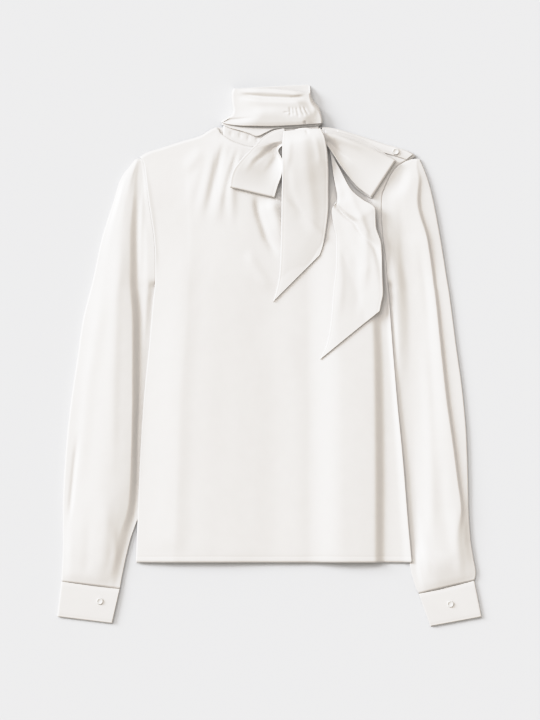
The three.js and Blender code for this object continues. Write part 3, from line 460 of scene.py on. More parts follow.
# Sleeves: full tubes of the same satin, cut in one piece each and sewn into the armholes.
# They lie flattened beside the body, in long soft folds, with their inner sides under its edges.
SLEEVE_PLACES = ["inner", "strip", "core", "foot", "ridge", "dip", "outer"]
SLEEVE_NAMES = ["y"] + [name for place in SLEEVE_PLACES for name in (place, place + "_z")] + ["drop"]
LEFT_SLEEVE = soft_table(SLEEVE_NAMES, [
    [285, -186.5, 3.4, -187.4, 3.5, -188.4, 3.6, -189.4, 3.7, -190.4, 3.7, -191.4, 3.6, -192.4, 3.3, 0],
    [254.5, -179.4, 4, -183, 4.3, -190, 4.6, -196, 6, -202, 7, -208, 6.2, -214, 4.2, 0],
    [225.5, -175.8, 4.9, -182, 5.8, -190, 6, -199, 8.4, -208, 9.2, -216, 8.2, -223, 4.6, 0],
    [167.5, -167.3, 6.5, -177, 7.2, -190.5, 5.2, -203, 9.8, -214, 10.6, -229, 8.8, -241, 5.4, 0],
    [UNDERARM_Y, -165.8, 7.2, -176, 7, -190, 4.4, -203, 10.4, -217, 12, -238, 9, -253.5, 5.8, 0],
    [104, -166.6, 3.2, -176, 6, -190, 4.2, -203, 10.4, -218, 12, -239, 9, -254.8, 5.8, 0],
    [92, -159, 3, -178, 5.6, -189.5, 3.8, -202, 10.6, -220, 12.2, -242, 9, -258, 5.8, 0],
    [51.5, -161, 3, -180, 4.6, -187, 2.6, -199, 11.2, -221, 12.8, -252, 8.8, -268, 6, 0],
    [-6.5, -166, 3, -182, 2.8, -187, 2.3, -199, 11.4, -225, 13, -260, 8.4, -276.5, 6, 0],
    [-64.5, -171, 3, -184.5, 2.4, -188, 2.2, -199, 11.4, -230, 13, -267, 8, -285, 6, 0],
    [-122.5, -176, 3, -187, 2.4, -190, 2.2, -200, 11, -233, 12.8, -277, 7.4, -291.5, 6, 0],
    [-180.5, -180, 3, -189, 2.4, -191, 2.2, -202, 10, -236, 12.4, -284.5, 6.8, -295.5, 5.8, 0],
    [-217, -185, 3, -191.5, 2.6, -193.5, 2.6, -205, 8.6, -238, 12, -288, 7, -297, 5.4, 0],
    [-267.5, -202, 3.1, -203.5, 3.2, -206.5, 3.6, -220, 8, -244, 11, -286, 8, -297, 4.6, 2],
    [-318, -214, 3.1, -215.5, 3.3, -218.5, 3.6, -227, 5.2, -252, 7.6, -286, 6.4, -299, 4, 7],
    [-333, -217, 3.2, -219, 3.3, -223, 3.4, -231, 3.6, -257, 4, -284, 3.8, -300, 3.4, 11],
])
RIGHT_SLEEVE = soft_table(SLEEVE_NAMES, [
    [285, 206.7, 3.4, 208, 3.5, 209.4, 3.6, 211, 3.7, 212.6, 3.7, 214.2, 3.6, 215.8, 3.3, 0],
    [273.5, 184.8, 4, 188, 4.2, 195, 4.4, 205, 4.8, 212, 4.8, 216, 4.2, 221, 3.6, 0],
    [254.5, 172.3, 5, 178, 4.6, 188, 4.4, 205, 7.6, 215, 7.2, 221, 5, 228, 4, 0],
    [225.5, 162.8, 6.2, 170, 6.4, 179, 7.2, 197, 8.4, 213, 8.4, 219.5, 5, 235.5, 4.2, 0],
    [167.5, 164.9, 7.5, 171.5, 7.2, 190, 4.4, 212, 6.8, 228.5, 9.4, 232, 4.8, 246.5, 4.2, 0],
    [UNDERARM_Y, 170.7, 8.4, 181, 7.8, 201, 3, 222, 3.6, 236.5, 6.8, 241.5, 3.2, 256, 3.6, 0],
    [104, 171.6, 3.2, 182, 7.4, 202, 2.9, 223, 3.6, 237, 6.8, 242, 3.2, 257, 3.4, 0],
    [92, 165.5, 3, 183, 7, 203, 2.8, 225, 3.6, 239, 7, 244, 3.3, 259, 3.6, 0],
    [22.5, 170.5, 3, 187, 5.2, 205, 2.6, 230, 4.2, 246.5, 7.8, 251.5, 3.3, 268, 3.6, 0],
    [-64.5, 176, 3, 189, 2.6, 205, 2.4, 234, 4.6, 256, 8.4, 261.5, 3.6, 279.5, 3.8, 0],
    [-122.5, 181, 3, 196.5, 2.4, 206, 2.4, 236, 6, 264.5, 9.4, 269, 4.4, 284, 4.2, 0],
    [-180.5, 185, 3, 202, 2.2, 208, 2.3, 234, 6.4, 272, 9.4, 276.5, 4.8, 286, 4.2, 0],
    [-224, 192, 3, 206.5, 2.4, 211.5, 2.4, 234, 6.8, 277, 9, 281.5, 6, 286.8, 4.2, 0],
    [-267.5, 199, 3, 210, 2.4, 214, 2.8, 230, 7.6, 268, 9.4, 281, 7.4, 289.5, 4.2, 3],
    [-299, 203.5, 3.1, 211.5, 3.6, 219, 6.8, 240, 10.8, 268, 9, 285, 6.4, 294, 4, 10],
    [-325, 211, 3.2, 216, 3.8, 224, 5.6, 245, 7.4, 270, 6.8, 287, 5.4, 297.5, 3.8, 17],
    [-336, 216.5, 3.2, 220, 3.3, 228, 3.5, 248, 4, 270, 3.8, 284, 3.6, 295.5, 3.4, 19],
])
SEWN_GAP = 0.1  # between the sleeve and the body at the armhole
LEAVES_SEAM = {"dive": 8, "move": 14}  # below the underarm the edge dives, then moves under the body
TUCK = {"clear": 1.2, "z": 3.4, "least": 0.3, "most": 0.9}
SLEEVE_TOP_Y = 285
HOLLOW = 3
# Shares of the cloth round the tube: the upper face, the fold at the outer side, and the rest below.
FACE_SHARE = 0.62
NOSE_SHARE = 0.1
NOSE_REACH = 2.4


def sleeve_face(sleeve, side, outward, leaves_body, s, y):
    """Upper face of a sleeve at shares s across it, at distances y down it."""
    seam = BODY_EDGES[side](y) + outward * SEWN_GAP
    dived = ease((UNDERARM_Y - y) / LEAVES_SEAM["dive"])
    moved = ease((UNDERARM_Y - LEAVES_SEAM["dive"] - y) / LEAVES_SEAM["move"])
    edge = mix(seam, sleeve["inner"](y), moved)
    edge_z = mix(body_height(BODY_EDGES[side](y), y), sleeve["inner_z"](y), dived)
    width = sleeve["outer"](y) - edge
    strip = (sleeve["strip"](y) - edge) / width
    under_body = (BODY_EDGES[side](y) + outward * TUCK["clear"] - edge) / width
    tucked = np.where(y > leaves_body, moved, 0)
    held = np.clip(under_body, strip * TUCK["least"], strip * TUCK["most"])
    tuck = mix(strip / 2, held, tucked)
    strip_z = sleeve["strip_z"](y)
    tuck_z = mix((edge_z + strip_z) / 2, np.minimum(TUCK["z"], strip_z), tucked)
    shares = [0, tuck] + [(sleeve[place](y) - edge) / width for place in SLEEVE_PLACES[1:]]
    heights = [edge_z, tuck_z] + [sleeve[place + "_z"](y) for place in SLEEVE_PLACES[1:]]
    spread = soft_between(s, [k / (len(shares) - 1) for k in range(len(shares))], shares)
    spread = mix(spread, s, 0.5)
    x = edge + spread * width
    return x, y + sleeve["drop"](y) * (spread - 0.5), soft_between(spread, shares, heights)


def sleeve_place(sleeve, side, outward, leaves_body, wrist_y, folds):
    def place(u, v):
        y = mix(wrist_y, SLEEVE_TOP_Y, v)
        lower = u > FACE_SHARE + NOSE_SHARE
        s = np.where(lower, (1 - u) / (1 - FACE_SHARE - NOSE_SHARE), np.minimum(u / FACE_SHARE, 1))
        x, plan_y, z = sleeve_face(sleeve, side, outward, leaves_body, s, y)
        z = soften(z, 1)
        ply = np.minimum(CLOTH * 1.2, (z - PLY_GAP) / 2)
        low = np.maximum(z - 2 * ply - PLY_GAP - HOLLOW * ease(s * 4), 0.1)
        z = np.where(u <= FACE_SHARE, z + lay_folds(x, plan_y, folds), z)
        turn = np.clip((u - FACE_SHARE) / NOSE_SHARE, 0, 1) * np.pi
        half = (z - low) / 2
        on_nose = (u > FACE_SHARE) & ~lower
        x = np.where(on_nose, x + outward * np.minimum(half, NOSE_REACH) * np.sin(turn), x)
        z = np.where(on_nose, z - half + half * np.cos(turn), np.where(lower, low, z))
        return x, plan_y, z

    return place


LEFT_SLEEVE_FOLDS = [
    ([(-183, 250), (-187, 170), (-187, 80)], 4, 3, 0.8, 0.3, 0.4),
    ([(-232, 150), (-246, 60), (-262, -40), (-273, -150), (-282, -240)], 10, 8, 1.2, 0.3, 0.3),
    ([(-276, -108), (-281, -151), (-285, -190), (-291, -250)], 2.5, 4, -1.6, 0.3, 0.3),
    ([(-214, 190), (-222, 80), (-226, -60), (-228, -200)], 7, 9, 0.8, 0.3, 0.3),
    ([(-240, -190), (-236, -260), (-240, -320)], 9, 12, 0.9, 0.4, 0.2),
    ([(-262, -215), (-262, -270), (-266, -325)], 8, 7, -0.7, 0.4, 0.2),
    ([(-226, -240), (-224, -290), (-232, -328)], 5, 6, 0.7, 0.4, 0.2),
]
RIGHT_SLEEVE_FOLDS = [
    ([(178, 240), (184, 190), (186, 130), (192, 60)], 6, 8, 0.8, 0.3, 0.4),
    ([(222, 40), (230, -60), (234, -160), (237, -300)], 7, 8, 0.9, 0.3, 0.25),
    ([(210, 200), (216, 120), (222, 40)], 8, 10, 0.6, 0.3, 0.3),
    ([(247, -130), (252, -220), (262, -300)], 7, 9, -0.9, 0.4, 0.3),
    ([(270, -200), (272, -270), (278, -326)], 7, 7, 0.8, 0.4, 0.2),
    ([(216, -200), (222, -270), (232, -325)], 6, 6, 0.8, 0.4, 0.2),
]
SLEEVES = [
    ("left", LEFT_SLEEVE, -1, -222, -333, LEFT_SLEEVE_FOLDS),
    ("right", RIGHT_SLEEVE, 1, -300, -336, RIGHT_SLEEVE_FOLDS),
]
SLEEVE_CUT = (0.30, 0.64)
sleeve_satin = satin("satin_sleeve", SLEEVE_CUT)
for side, sleeve, outward, leaves_body, wrist_y, folds in SLEEVES:
    place = sleeve_place(sleeve, side, outward, leaves_body, wrist_y, folds)
    piece = cut_cloth("sleeve_cloth_" + side, 110, 180, place, sleeve_satin, SLEEVE_CUT)
    if outward < 0:
        piece.data.flip_normals()
    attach(piece, "root")
    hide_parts("sleeve_" + side)

# Cuffs: doubled bands of satin on the sleeve ends, edge-stitched, each closed by one button.
# They lie flat, folded at the outer side, with both ends over each other at the inner side.
CUFF_Z = FLAT_STACK + 0.1
CUFF_CUT = (0.168, 0.05)
CUFF_FACE = 0.46  # share of the cloth on the upper face
CUFF_NOSE = 0.08  # and round the fold at its outer side
CUFF_LOW = 0.1
CUFF_SEAM = 0.05
CUFF_PUFF = 0.3
# Side, sleeve, outward, wrist, the two corners of the open end, where the sleeve comes out, button.
CUFFS = [
    ("left", LEFT_SLEEVE, -1, -333, [(-228, -388), (-306, -378.5)], -218.0, (-246, -356)),
    ("right", RIGHT_SLEEVE, 1, -336, [(233, -392.5), (306, -379)], -300.0, (262, -360)),
]
cuff_satin = satin("satin_cuff", CUFF_CUT, stitches=[("v", 0.0475), ("v", 0.0025)], drape=0.0003)


def cuff_place(sleeve, side, outward, leaves_body, wrist_y, open_ends):
    def place(u, v):
        lower = u > CUFF_FACE + CUFF_NOSE
        s = np.where(lower, (1 - u) / CUFF_FACE, np.minimum(u / CUFF_FACE, 1))
        seam_x, seam_y, _ = sleeve_face(sleeve, side, outward, leaves_body, s, 0 * u + wrist_y)
        open_x = mix(open_ends[0][0], open_ends[1][0], s)
        open_y = mix(open_ends[0][1], open_ends[1][1], s)
        down = 1 - v
        x = mix(seam_x, open_x, down)
        y = mix(seam_y - CUFF_SEAM, open_y, down)
        puff = CUFF_PUFF * np.sin(np.pi * np.clip(down, 0, 1)) ** 0.5
        top = CUFF_Z + CUFF_LOW + puff
        turn = np.clip((u - CUFF_FACE) / CUFF_NOSE, 0, 1) * np.pi
        half = (top - CUFF_LOW) / 2
        on_nose = (u > CUFF_FACE) & ~lower
        x = np.where(on_nose, x + outward * half * np.sin(turn), x)
        z = np.where(on_nose, top - half + half * np.cos(turn), np.where(lower, CUFF_LOW, top))
        return x, y, z

    return place


for side, sleeve, outward, wrist_y, open_ends, leaves_body, _ in CUFFS:
    place = cuff_place(sleeve, side, outward, leaves_body, wrist_y, open_ends)
    piece = cut_cloth("cuff_cloth_" + side, 100, 24, place, cuff_satin, CUFF_CUT, thickness=0.9)
    if outward < 0:
        piece.data.flip_normals()
    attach(piece, "root")
    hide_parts("cuff_" + side)

# Shoulder opening: at the wearer's left the front laps the back, faced with a narrow strip of the
# same satin, and a small pale button closes it. The cuffs have the same button.
PLACKET_CUT = (0.112, 0.012)
PLACKET = {"from": 98, "to": 199, "slant": 9, "inset": 1.5, "wide": 12, "sunk": 0.5, "puff": 0.4}
PLACKET_STITCH = 0.0015
placket_satin = satin("satin_placket", PLACKET_CUT, drape=0.0002,
                      stitches=[("v", PLACKET_STITCH), ("v", PLACKET_CUT[1] - PLACKET_STITCH)])


def placket_place(u, v):
    x = mix(PLACKET["from"], PLACKET["to"] + PLACKET["slant"] * v, u)
    y = front_top(x) - PLACKET["inset"] - PLACKET["wide"] * (1 - v)
    puff = PLACKET["puff"] * np.sin(np.pi * v) ** 0.5
    return x, y, front_height(x, y) + PLY_GAP + CLOTH - PLACKET["sunk"] + puff


placket = cut_cloth("placket_cloth", 80, 12, placket_place, placket_satin, PLACKET_CUT, thickness=0.6)
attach(placket, "root")
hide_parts("shoulder_placket")

# Radius and height, from the middle of the underside round the rim to the dished middle.
BUTTON_RIM = [
    (0, 0), (4.1, 0), (4.7, 0.5), (4.8, 1.1), (4.5, 1.75), (4.0, 2.0), (3.5, 1.9), (3.0, 1.5), (0, 1.35),
]
BUTTON_SIDES = 40
button_shell = bpy.data.materials.new("button_shell")
button_shell.use_nodes = True
tree = button_shell.node_tree
shell = tree.nodes["Principled BSDF"]
where = tree.nodes.new("ShaderNodeTexCoord")
swirl = tree.nodes.new("ShaderNodeTexNoise")
swirl.inputs["Scale"].default_value = 260
swirl.inputs["Detail"].default_value = 4
swirl.inputs["Distortion"].default_value = 1.5
tree.links.new(where.outputs["Object"], swirl.inputs["Vector"])
pearl = tree.nodes.new("ShaderNodeMix")
pearl.data_type = "RGBA"
pearl.inputs[6].default_value = (0.62, 0.60, 0.565, 1)
pearl.inputs[7].default_value = (0.70, 0.68, 0.65, 1)
tree.links.new(swirl.outputs["Fac"], pearl.inputs["Factor"])
tree.links.new(pearl.outputs[2], shell.inputs["Base Color"])
tree.links.new(maths(tree, "MULTIPLY_ADD", swirl.outputs["Fac"], 0.15, 0.3), shell.inputs["Roughness"])
SHOULDER_BUTTON = (182.7, 295.5)
on_placket = float(front_height(*SHOULDER_BUTTON)) + PLY_GAP + CLOTH + SEAM_GAP
BUTTONS = [("shoulder_button", *SHOULDER_BUTTON, on_placket)]
for side, *_, button_at in CUFFS:
    BUTTONS.append(("cuff_button_" + side, *button_at, CUFF_Z + SEAM_GAP))
for name, x, y, z in BUTTONS:
    bm = bmesh.new()
    rim = [bm.verts.new((r * MM, 0, h * MM)) for r, h in BUTTON_RIM]
    edges = [bm.edges.new(pair) for pair in zip(rim, rim[1:])]
    bmesh.ops.spin(bm, geom=rim + edges, axis=(0, 0, 1), cent=(0, 0, 0), angle=2 * np.pi,
                   steps=BUTTON_SIDES, use_merge=True)
    bmesh.ops.remove_doubles(bm, verts=bm.verts, dist=1e-6)
    bmesh.ops.recalc_face_normals(bm, faces=bm.faces)
    bmesh.ops.translate(bm, verts=bm.verts, vec=(x * MM, y * MM, z * MM))
    for face in bm.faces:
        face.smooth = True
    mesh = bpy.data.meshes.new(name + "_shell")
    bm.to_mesh(mesh)
    bm.free()
    mesh.materials.append(button_shell)
    piece = bpy.data.objects.new(name + "_shell", mesh)
    bpy.context.scene.collection.objects.link(piece)
    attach(piece, "root")
    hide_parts(name)

# Neckband: a narrow stand sewn into the neckline, and the long tie wrapped round it in two turns.
# It lies flattened, so each turn is an upper and a lower ply joined by a fold at either side.
NOSE = 2.4
TURN_INSET = 2.5
WRAP_STEP = CLOTH + SEAM_GAP
NECK_Z = float(body_height(NECK["x"], NECK["y"]))
STAND_Z = NECK_Z + WRAP_STEP
STAND_BOTTOM = NECK_Z - FLAT_STACK
NECK_SIDES = soft_table(
    ["y", "left", "right"],
    [
        [318, -72.6, 74], [331, -72.6, 76.5], [338.6, -70.5, 77], [345.8, -63.5, 76.5], [353, -54.5, 75],
        [360, -52.5, 72.5], [373, -54.4, 63.5], [384, -54.8, 60], [393, -51.5, 58.8],
    ],
)
LOWER_WRAP_EDGE = soft_line([
    [-72, 336], [-56, 329], [-43, 325.5], [-30, 321.5], [-18, 317], [-6, 322], [8, 328], [40, 330],
    [72, 333],
])
UPPER_WRAP_EDGE = soft_line([[-75, 339.5], [-60, 334.5], [-36, 332], [0, 331.5], [40, 333], [78, 336]])
UPPER_WRAP_RELIEF = soft_line([
    [0, 2.6], [0.12, 4.6], [0.3, 5.6], [0.5, 5], [0.68, 4.4], [0.8, 2], [0.9, 3.4], [1, 1.2],
])
UPPER_WRAP_TOP = {
    "front": soft_line([[-54, 386], [-20, 386.5], [25, 384], [57, 379]]),
    "back": soft_line([[-54, 386], [0, 390], [56, 392.5]]),
}
# Small gathers of the stand, each from its upper to its lower end.
STAND_GATHERS = [
    ([upper, lower], 1.5, 1.5, -1.1, 0.2, 0.2)
    for upper, lower in [
        ((-56, 325), (-55, 317)), ((-43, 323), (-42, 314)),
        ((-31, 320), (-30, 311)), ((-18, 317), (-18, 308)),
    ]
]
STAND_LAP = 1.2
WRAP_FOLDS = [
    ([(-43, 379), (-11, 373.5), (30, 372), (56, 376.5)], 2.5, 3.5, -1.6, 0.15, 0.15),
    ([(-46, 372), (-10, 367), (34, 366), (54, 369)], 5, 6, 0.9, 0.2, 0.2),
    ([(-69, 340), (-43, 342), (-20, 343.5)], 2, 3, -1.3, 0.1, 0.5),
    ([(-30, 350), (0, 352), (24, 351)], 6, 8, 0.8, 0.4, 0.4),
    ([(29, 361), (30, 352), (30.5, 344)], 1.1, 1.1, -1.3, 0.3, 0.3),
    ([(34, 361), (35, 353), (35.5, 346)], 1.0, 1.0, -0.9, 0.3, 0.3),
    ([(38.5, 361), (40.5, 352), (43, 343)], 1.1, 1.1, -1.3, 0.3, 0.3),
    ([(44, 362), (47, 353), (51, 344)], 1.2, 1.2, -1.4, 0.3, 0.3),
    ([(49, 361), (53, 353), (57, 347)], 1.1, 1.1, -1.2, 0.3, 0.3),
    ([(20, 351.5), (28, 351.6)], 1.0, 1.0, -0.9, 0.2, 0.2),
    ([(60, 376), (64, 360), (66, 346)], 3, 4, 0.9, 0.2, 0.3),
    ([(50, 340), (53, 334), (56, 328)], 1.6, 1.6, -1.4, 0.2, 0.2),
]


def neck_span(y, turns):
    left = NECK_SIDES["left"](y) + NOSE + turns * TURN_INSET
    return left, NECK_SIDES["right"](y) - NOSE - turns * TURN_INSET


def flat_ring(low, high, turns, upper_y, lower_y, top_z, bottom_z, folds=()):
    """A flattened ring of cloth, with its columns run all round and its rows up it."""
    face, nose = 0.44, 0.06

    def place(u, v):
        left, right = neck_span(mix(low, high, v), turns)
        below = (u > face + nose) & (u < 1 - nose)
        s = np.clip(u / face, 0, 1)
        s = np.where(u > face + nose, np.clip((1 - nose - u) / (1 - face - 2 * nose), 0, 1), s)
        x = mix(left, right, s)
        top_y, bottom_y = upper_y(x, v), lower_y(x, v)
        top = top_z(s, v) + lay_folds(x, top_y, folds)
        half = (top_z(s, v) - bottom_z) / 2
        bulge = np.minimum(half, NOSE)
        right_turn = np.clip((u - face) / nose, 0, 1) * np.pi
        left_turn = np.clip((u - 1 + nose) / nose, 0, 1) * np.pi
        y = np.where(below, bottom_y, top_y)
        z = np.where(below, bottom_z, top)
        on_right = (u > face) & (u <= face + nose)
        on_left = u >= 1 - nose
        x = np.where(on_right, right + bulge * np.sin(right_turn), x)
        y = np.where(on_right, mix(top_y, bottom_y, (1 - np.cos(right_turn)) / 2), y)
        z = np.where(on_right, bottom_z + half + half * np.cos(right_turn), z)
        x = np.where(on_left, left - bulge * np.sin(left_turn), x)
        y = np.where(on_left, mix(bottom_y, top_y, (1 - np.cos(left_turn)) / 2), y)
        z = np.where(on_left, bottom_z + half - half * np.cos(left_turn), z)
        return x, y, z

    return place


UPPER_WRAP_LIFT = 1
UPPER_WRAP_FADE = {"left": 0.34, "right": 0.2}


def upper_wrap_top(s, v):
    """The last turn is puffed up, and eases down to its folds at both sides."""
    eased = ease(s / UPPER_WRAP_FADE["left"]) * ease((1 - s) / UPPER_WRAP_FADE["right"])
    return STAND_Z + 2 * WRAP_STEP + UPPER_WRAP_LIFT + UPPER_WRAP_RELIEF(v) * eased


RINGS = [
    {
        "node": "collar_stand", "cut": (0.29, 0.025), "columns": 150, "rows": 14,
        "place": flat_ring(
            331, 337, 2,
            lambda x, v: mix(front_top(x) - STAND_LAP, 337, v),
            lambda x, v: mix(back_top(x) + STAND_LAP, 337, v),
            lambda s, v: STAND_Z + 0 * s,
            STAND_BOTTOM, STAND_GATHERS,
        ),
    },
    {
        "node": "neck_wrap_lower", "cut": (0.28, 0.012), "columns": 150, "rows": 12,
        "place": flat_ring(
            334, 339.8, 1,
            lambda x, v: mix(LOWER_WRAP_EDGE(x), 339.8, v),
            lambda x, v: mix(back_top(x) + 6, 339.8, v),
            lambda s, v: STAND_Z + WRAP_STEP + (1 - v) * np.sqrt(np.sin(np.pi * s)),
            STAND_BOTTOM - WRAP_STEP, [([(-60, 333), (-30, 332.5), (15, 330)], 1.2, 1.8, -0.7, 0.2, 0.2)],
        ),
    },
    {
        "node": "neck_wrap_upper", "cut": (0.27, 0.06), "columns": 190, "rows": 60,
        "place": flat_ring(
            338.6, 391, 0,
            lambda x, v: mix(UPPER_WRAP_EDGE(x), UPPER_WRAP_TOP["front"](x), v),
            lambda x, v: mix(UPPER_WRAP_EDGE(x) + 3, UPPER_WRAP_TOP["back"](x), v),
            upper_wrap_top,
            STAND_BOTTOM - 2 * WRAP_STEP, WRAP_FOLDS,
        ),
    },
]
for ring in RINGS:
    node, cut = ring["node"], ring["cut"]
    finish = satin("satin_" + node, cut, drape=0.0003)
    piece = cut_cloth(node + "_cloth", ring["columns"], ring["rows"], ring["place"],
                      finish, cut, closed=True)
    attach(piece, "root")
    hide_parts(node)

# Bow: both ends of the tie, two thin plies sewn together along the edges and turned, are tied at
# the wearer's left of the neck. Rear tail, knot, two loops and the front tail are its parts.
TIE = 1.5  # both plies
TAIL_CLOTH = 1.1
LOOP_CLOTH = 1.0
OVER_FRONT = 2.2  # least height of a tail over the front
TIE_EDGE = 0.0035


def plan_path(points):
    points = np.array(points, dtype=float)
    steps = np.hypot(*(points[1:] - points[:-1]).T)
    along = np.concatenate([[0], np.cumsum(steps)]) / steps.sum()
    return lambda t: (soft_between(t, along, points[:, 0]), soft_between(t, along, points[:, 1]))


def ruled(edge_a, edge_b):
    start, end = plan_path(edge_a), plan_path(edge_b)

    def plan(u, v):
        (ax, ay), (bx, by) = start(v), end(v)
        return mix(ax, bx, u), mix(ay, by, u)

    return plan


def tie_satin(name, cut):
    return satin(name, cut, stitches=[("u", TIE_EDGE), ("u", cut[0] - TIE_EDGE)], drape=0.0004)


def edge_roll(u, cut_width, drop=0.5):
    """The turned edges of the tie fall away over their last few millimetres."""
    near = np.minimum(u, 1 - u) * cut_width / 0.003
    return -drop * (1 - np.sqrt(np.clip(1 - np.clip(1 - near, 0, 1) ** 2, 0, 1)))


# Rear tail: it comes out from under the knot, with one edge turned over as a long pleat.
REAR_TAIL = ruled(
    [(68, 312.5), (85.5, 300), (92, 262), (98, 226), (90, 210), (93, 188), (96.5, 170), (96, 130),
     (92, 92), (89, 52), (83, 18), (73, -6)],
    [(87, 318), (92, 291), (103, 268), (118, 240), (134, 226), (153, 212), (154, 188), (162, 160),
     (163.5, 116), (164.5, 90), (162, 76), (160, 64.5)],
)
rear_support = soft_line([[60, 5.6], [95, 7], [120, 9.6], [140, 11.4], [168, 14]])
rear_from_top = soft_line([[0, 6], [0.15, 4.6], [0.4, 2.2], [0.75, 0.6], [1, 0]])
REAR_PLEAT = soft_table(["v", "at", "rise"], [
    [0, 0, 0], [0.22, 0.01, 1.2], [0.28, 0.06, 4], [0.36, 0.33, 6], [0.44, 0.5, 6], [0.48, 0.58, 5.4],
    [0.65, 0.93, 2.8], [0.8, 1.02, 0.6], [1, 1.05, 0],
])
PLEAT_LIP = {"before": 0.03, "over": 0.06}
PLEAT_BACK = {"from": 0.1, "over": 0.6, "fall": 0.5}
PLEAT_HOLLOW = {"at": -0.06, "wide": 0.04, "deep": 0.5}
REAR_FOLDS = [
    ([(96, 200), (112, 170), (124, 140), (128, 90), (122, 40)], 6, 10, -0.8, 0.2, 0.3),
    ([(106, 262), (122, 220), (138, 180), (150, 140), (158, 95)], 5, 7, 0.9, 0.2, 0.2),
    ([(99, 170), (104, 110), (100, 50)], 6, 8, 0.9, 0.3, 0.3),
    ([(128, 214), (138, 180), (140, 130), (136, 90)], 6, 8, 1.4, 0.15, 0.3),
]
REAR_CUT = (0.075, 0.34)


def rear_place(u, v):
    v = 1 - v
    x, y = REAR_TAIL(u, v)
    off = u - REAR_PLEAT["at"](v)
    lip = ease((off + PLEAT_LIP["before"]) / PLEAT_LIP["over"])
    back_fall = PLEAT_BACK["fall"] * ease((off - PLEAT_BACK["from"]) / PLEAT_BACK["over"])
    hollow = PLEAT_HOLLOW["deep"] * np.exp(-(((off - PLEAT_HOLLOW["at"]) / PLEAT_HOLLOW["wide"]) ** 2))
    support = np.maximum(rear_support(x) + rear_from_top(v), front_height(x, y) + OVER_FRONT)
    z = support + (lip - back_fall - hollow) * REAR_PLEAT["rise"](v) + lay_folds(x, y, REAR_FOLDS)
    return x, y, soften(z, 1) + edge_roll(u, REAR_CUT[0])


rear_satin = tie_satin("satin_tail_rear", REAR_CUT)
rear = cut_cloth("tail_rear_cloth", 60, 150, rear_place, rear_satin, REAR_CUT, TAIL_CLOTH)
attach(rear, "root")
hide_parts("tail_rear")

# Knot: the gathered band between the loops, mostly under the front tail.
KNOT = {"x": 50, "y": 309, "z": 15.9, "wide": 26, "long": 20, "high": 5.4}
KNOT_CUT = (0.09, 0.05)
KNOT_GATHERS = {"deep": 0.02, "count": 9, "turn": 2}


def knot_place(u, v):
    around, down = 2 * np.pi * u, np.pi * mix(0.04, 0.96, 1 - v)
    bend = KNOT_GATHERS["turn"] * np.cos(down)
    gather = 1 + KNOT_GATHERS["deep"] * np.sin(KNOT_GATHERS["count"] * around + bend)
    x = KNOT["x"] + KNOT["wide"] * np.cos(down)
    y = KNOT["y"] + KNOT["long"] * np.sin(down) * np.cos(around) * gather
    return x, y, KNOT["z"] + KNOT["high"] * np.sin(down) * np.sin(around) * gather


knot_satin = satin("satin_knot", KNOT_CUT)
knot = cut_cloth("bow_knot_cloth", 72, 36, knot_place, knot_satin, KNOT_CUT, closed=True)
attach(knot, "root")
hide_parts("bow_knot")

# Loops: each goes out from the knot as an upper ply, turns, and comes back under itself.
LOOP_CLEAR = 0.8
LOOP_SWELL = 4
OVER_STAND = STAND_Z + WRAP_STEP + 1
TURN_FROM, TURN_TO = 0.44, 0.56


def loop_top_z(loop, u, v):
    """The upper ply swells from the knot, sinks to its turned end and is dished between its edges."""
    start = loop["sinks_from"]
    dish = loop["dish"] * np.sin(np.pi * np.clip(u, 0, 1) ** loop["skew"])
    dish = dish * ease(v / 0.3) * np.clip(1 - v, 0, 1) ** 1.1
    sunk = loop["sinks"] * ease((v - start) / (1 - start))
    return loop["high"] - loop["tilt"] * u + LOOP_SWELL * ease(v) - sunk - dish


def left_lower_z(x, y):
    on_stand = ease((y - 284) / 20)
    return mix(front_height(x, y), OVER_STAND, on_stand) + LOOP_CLEAR + TIE


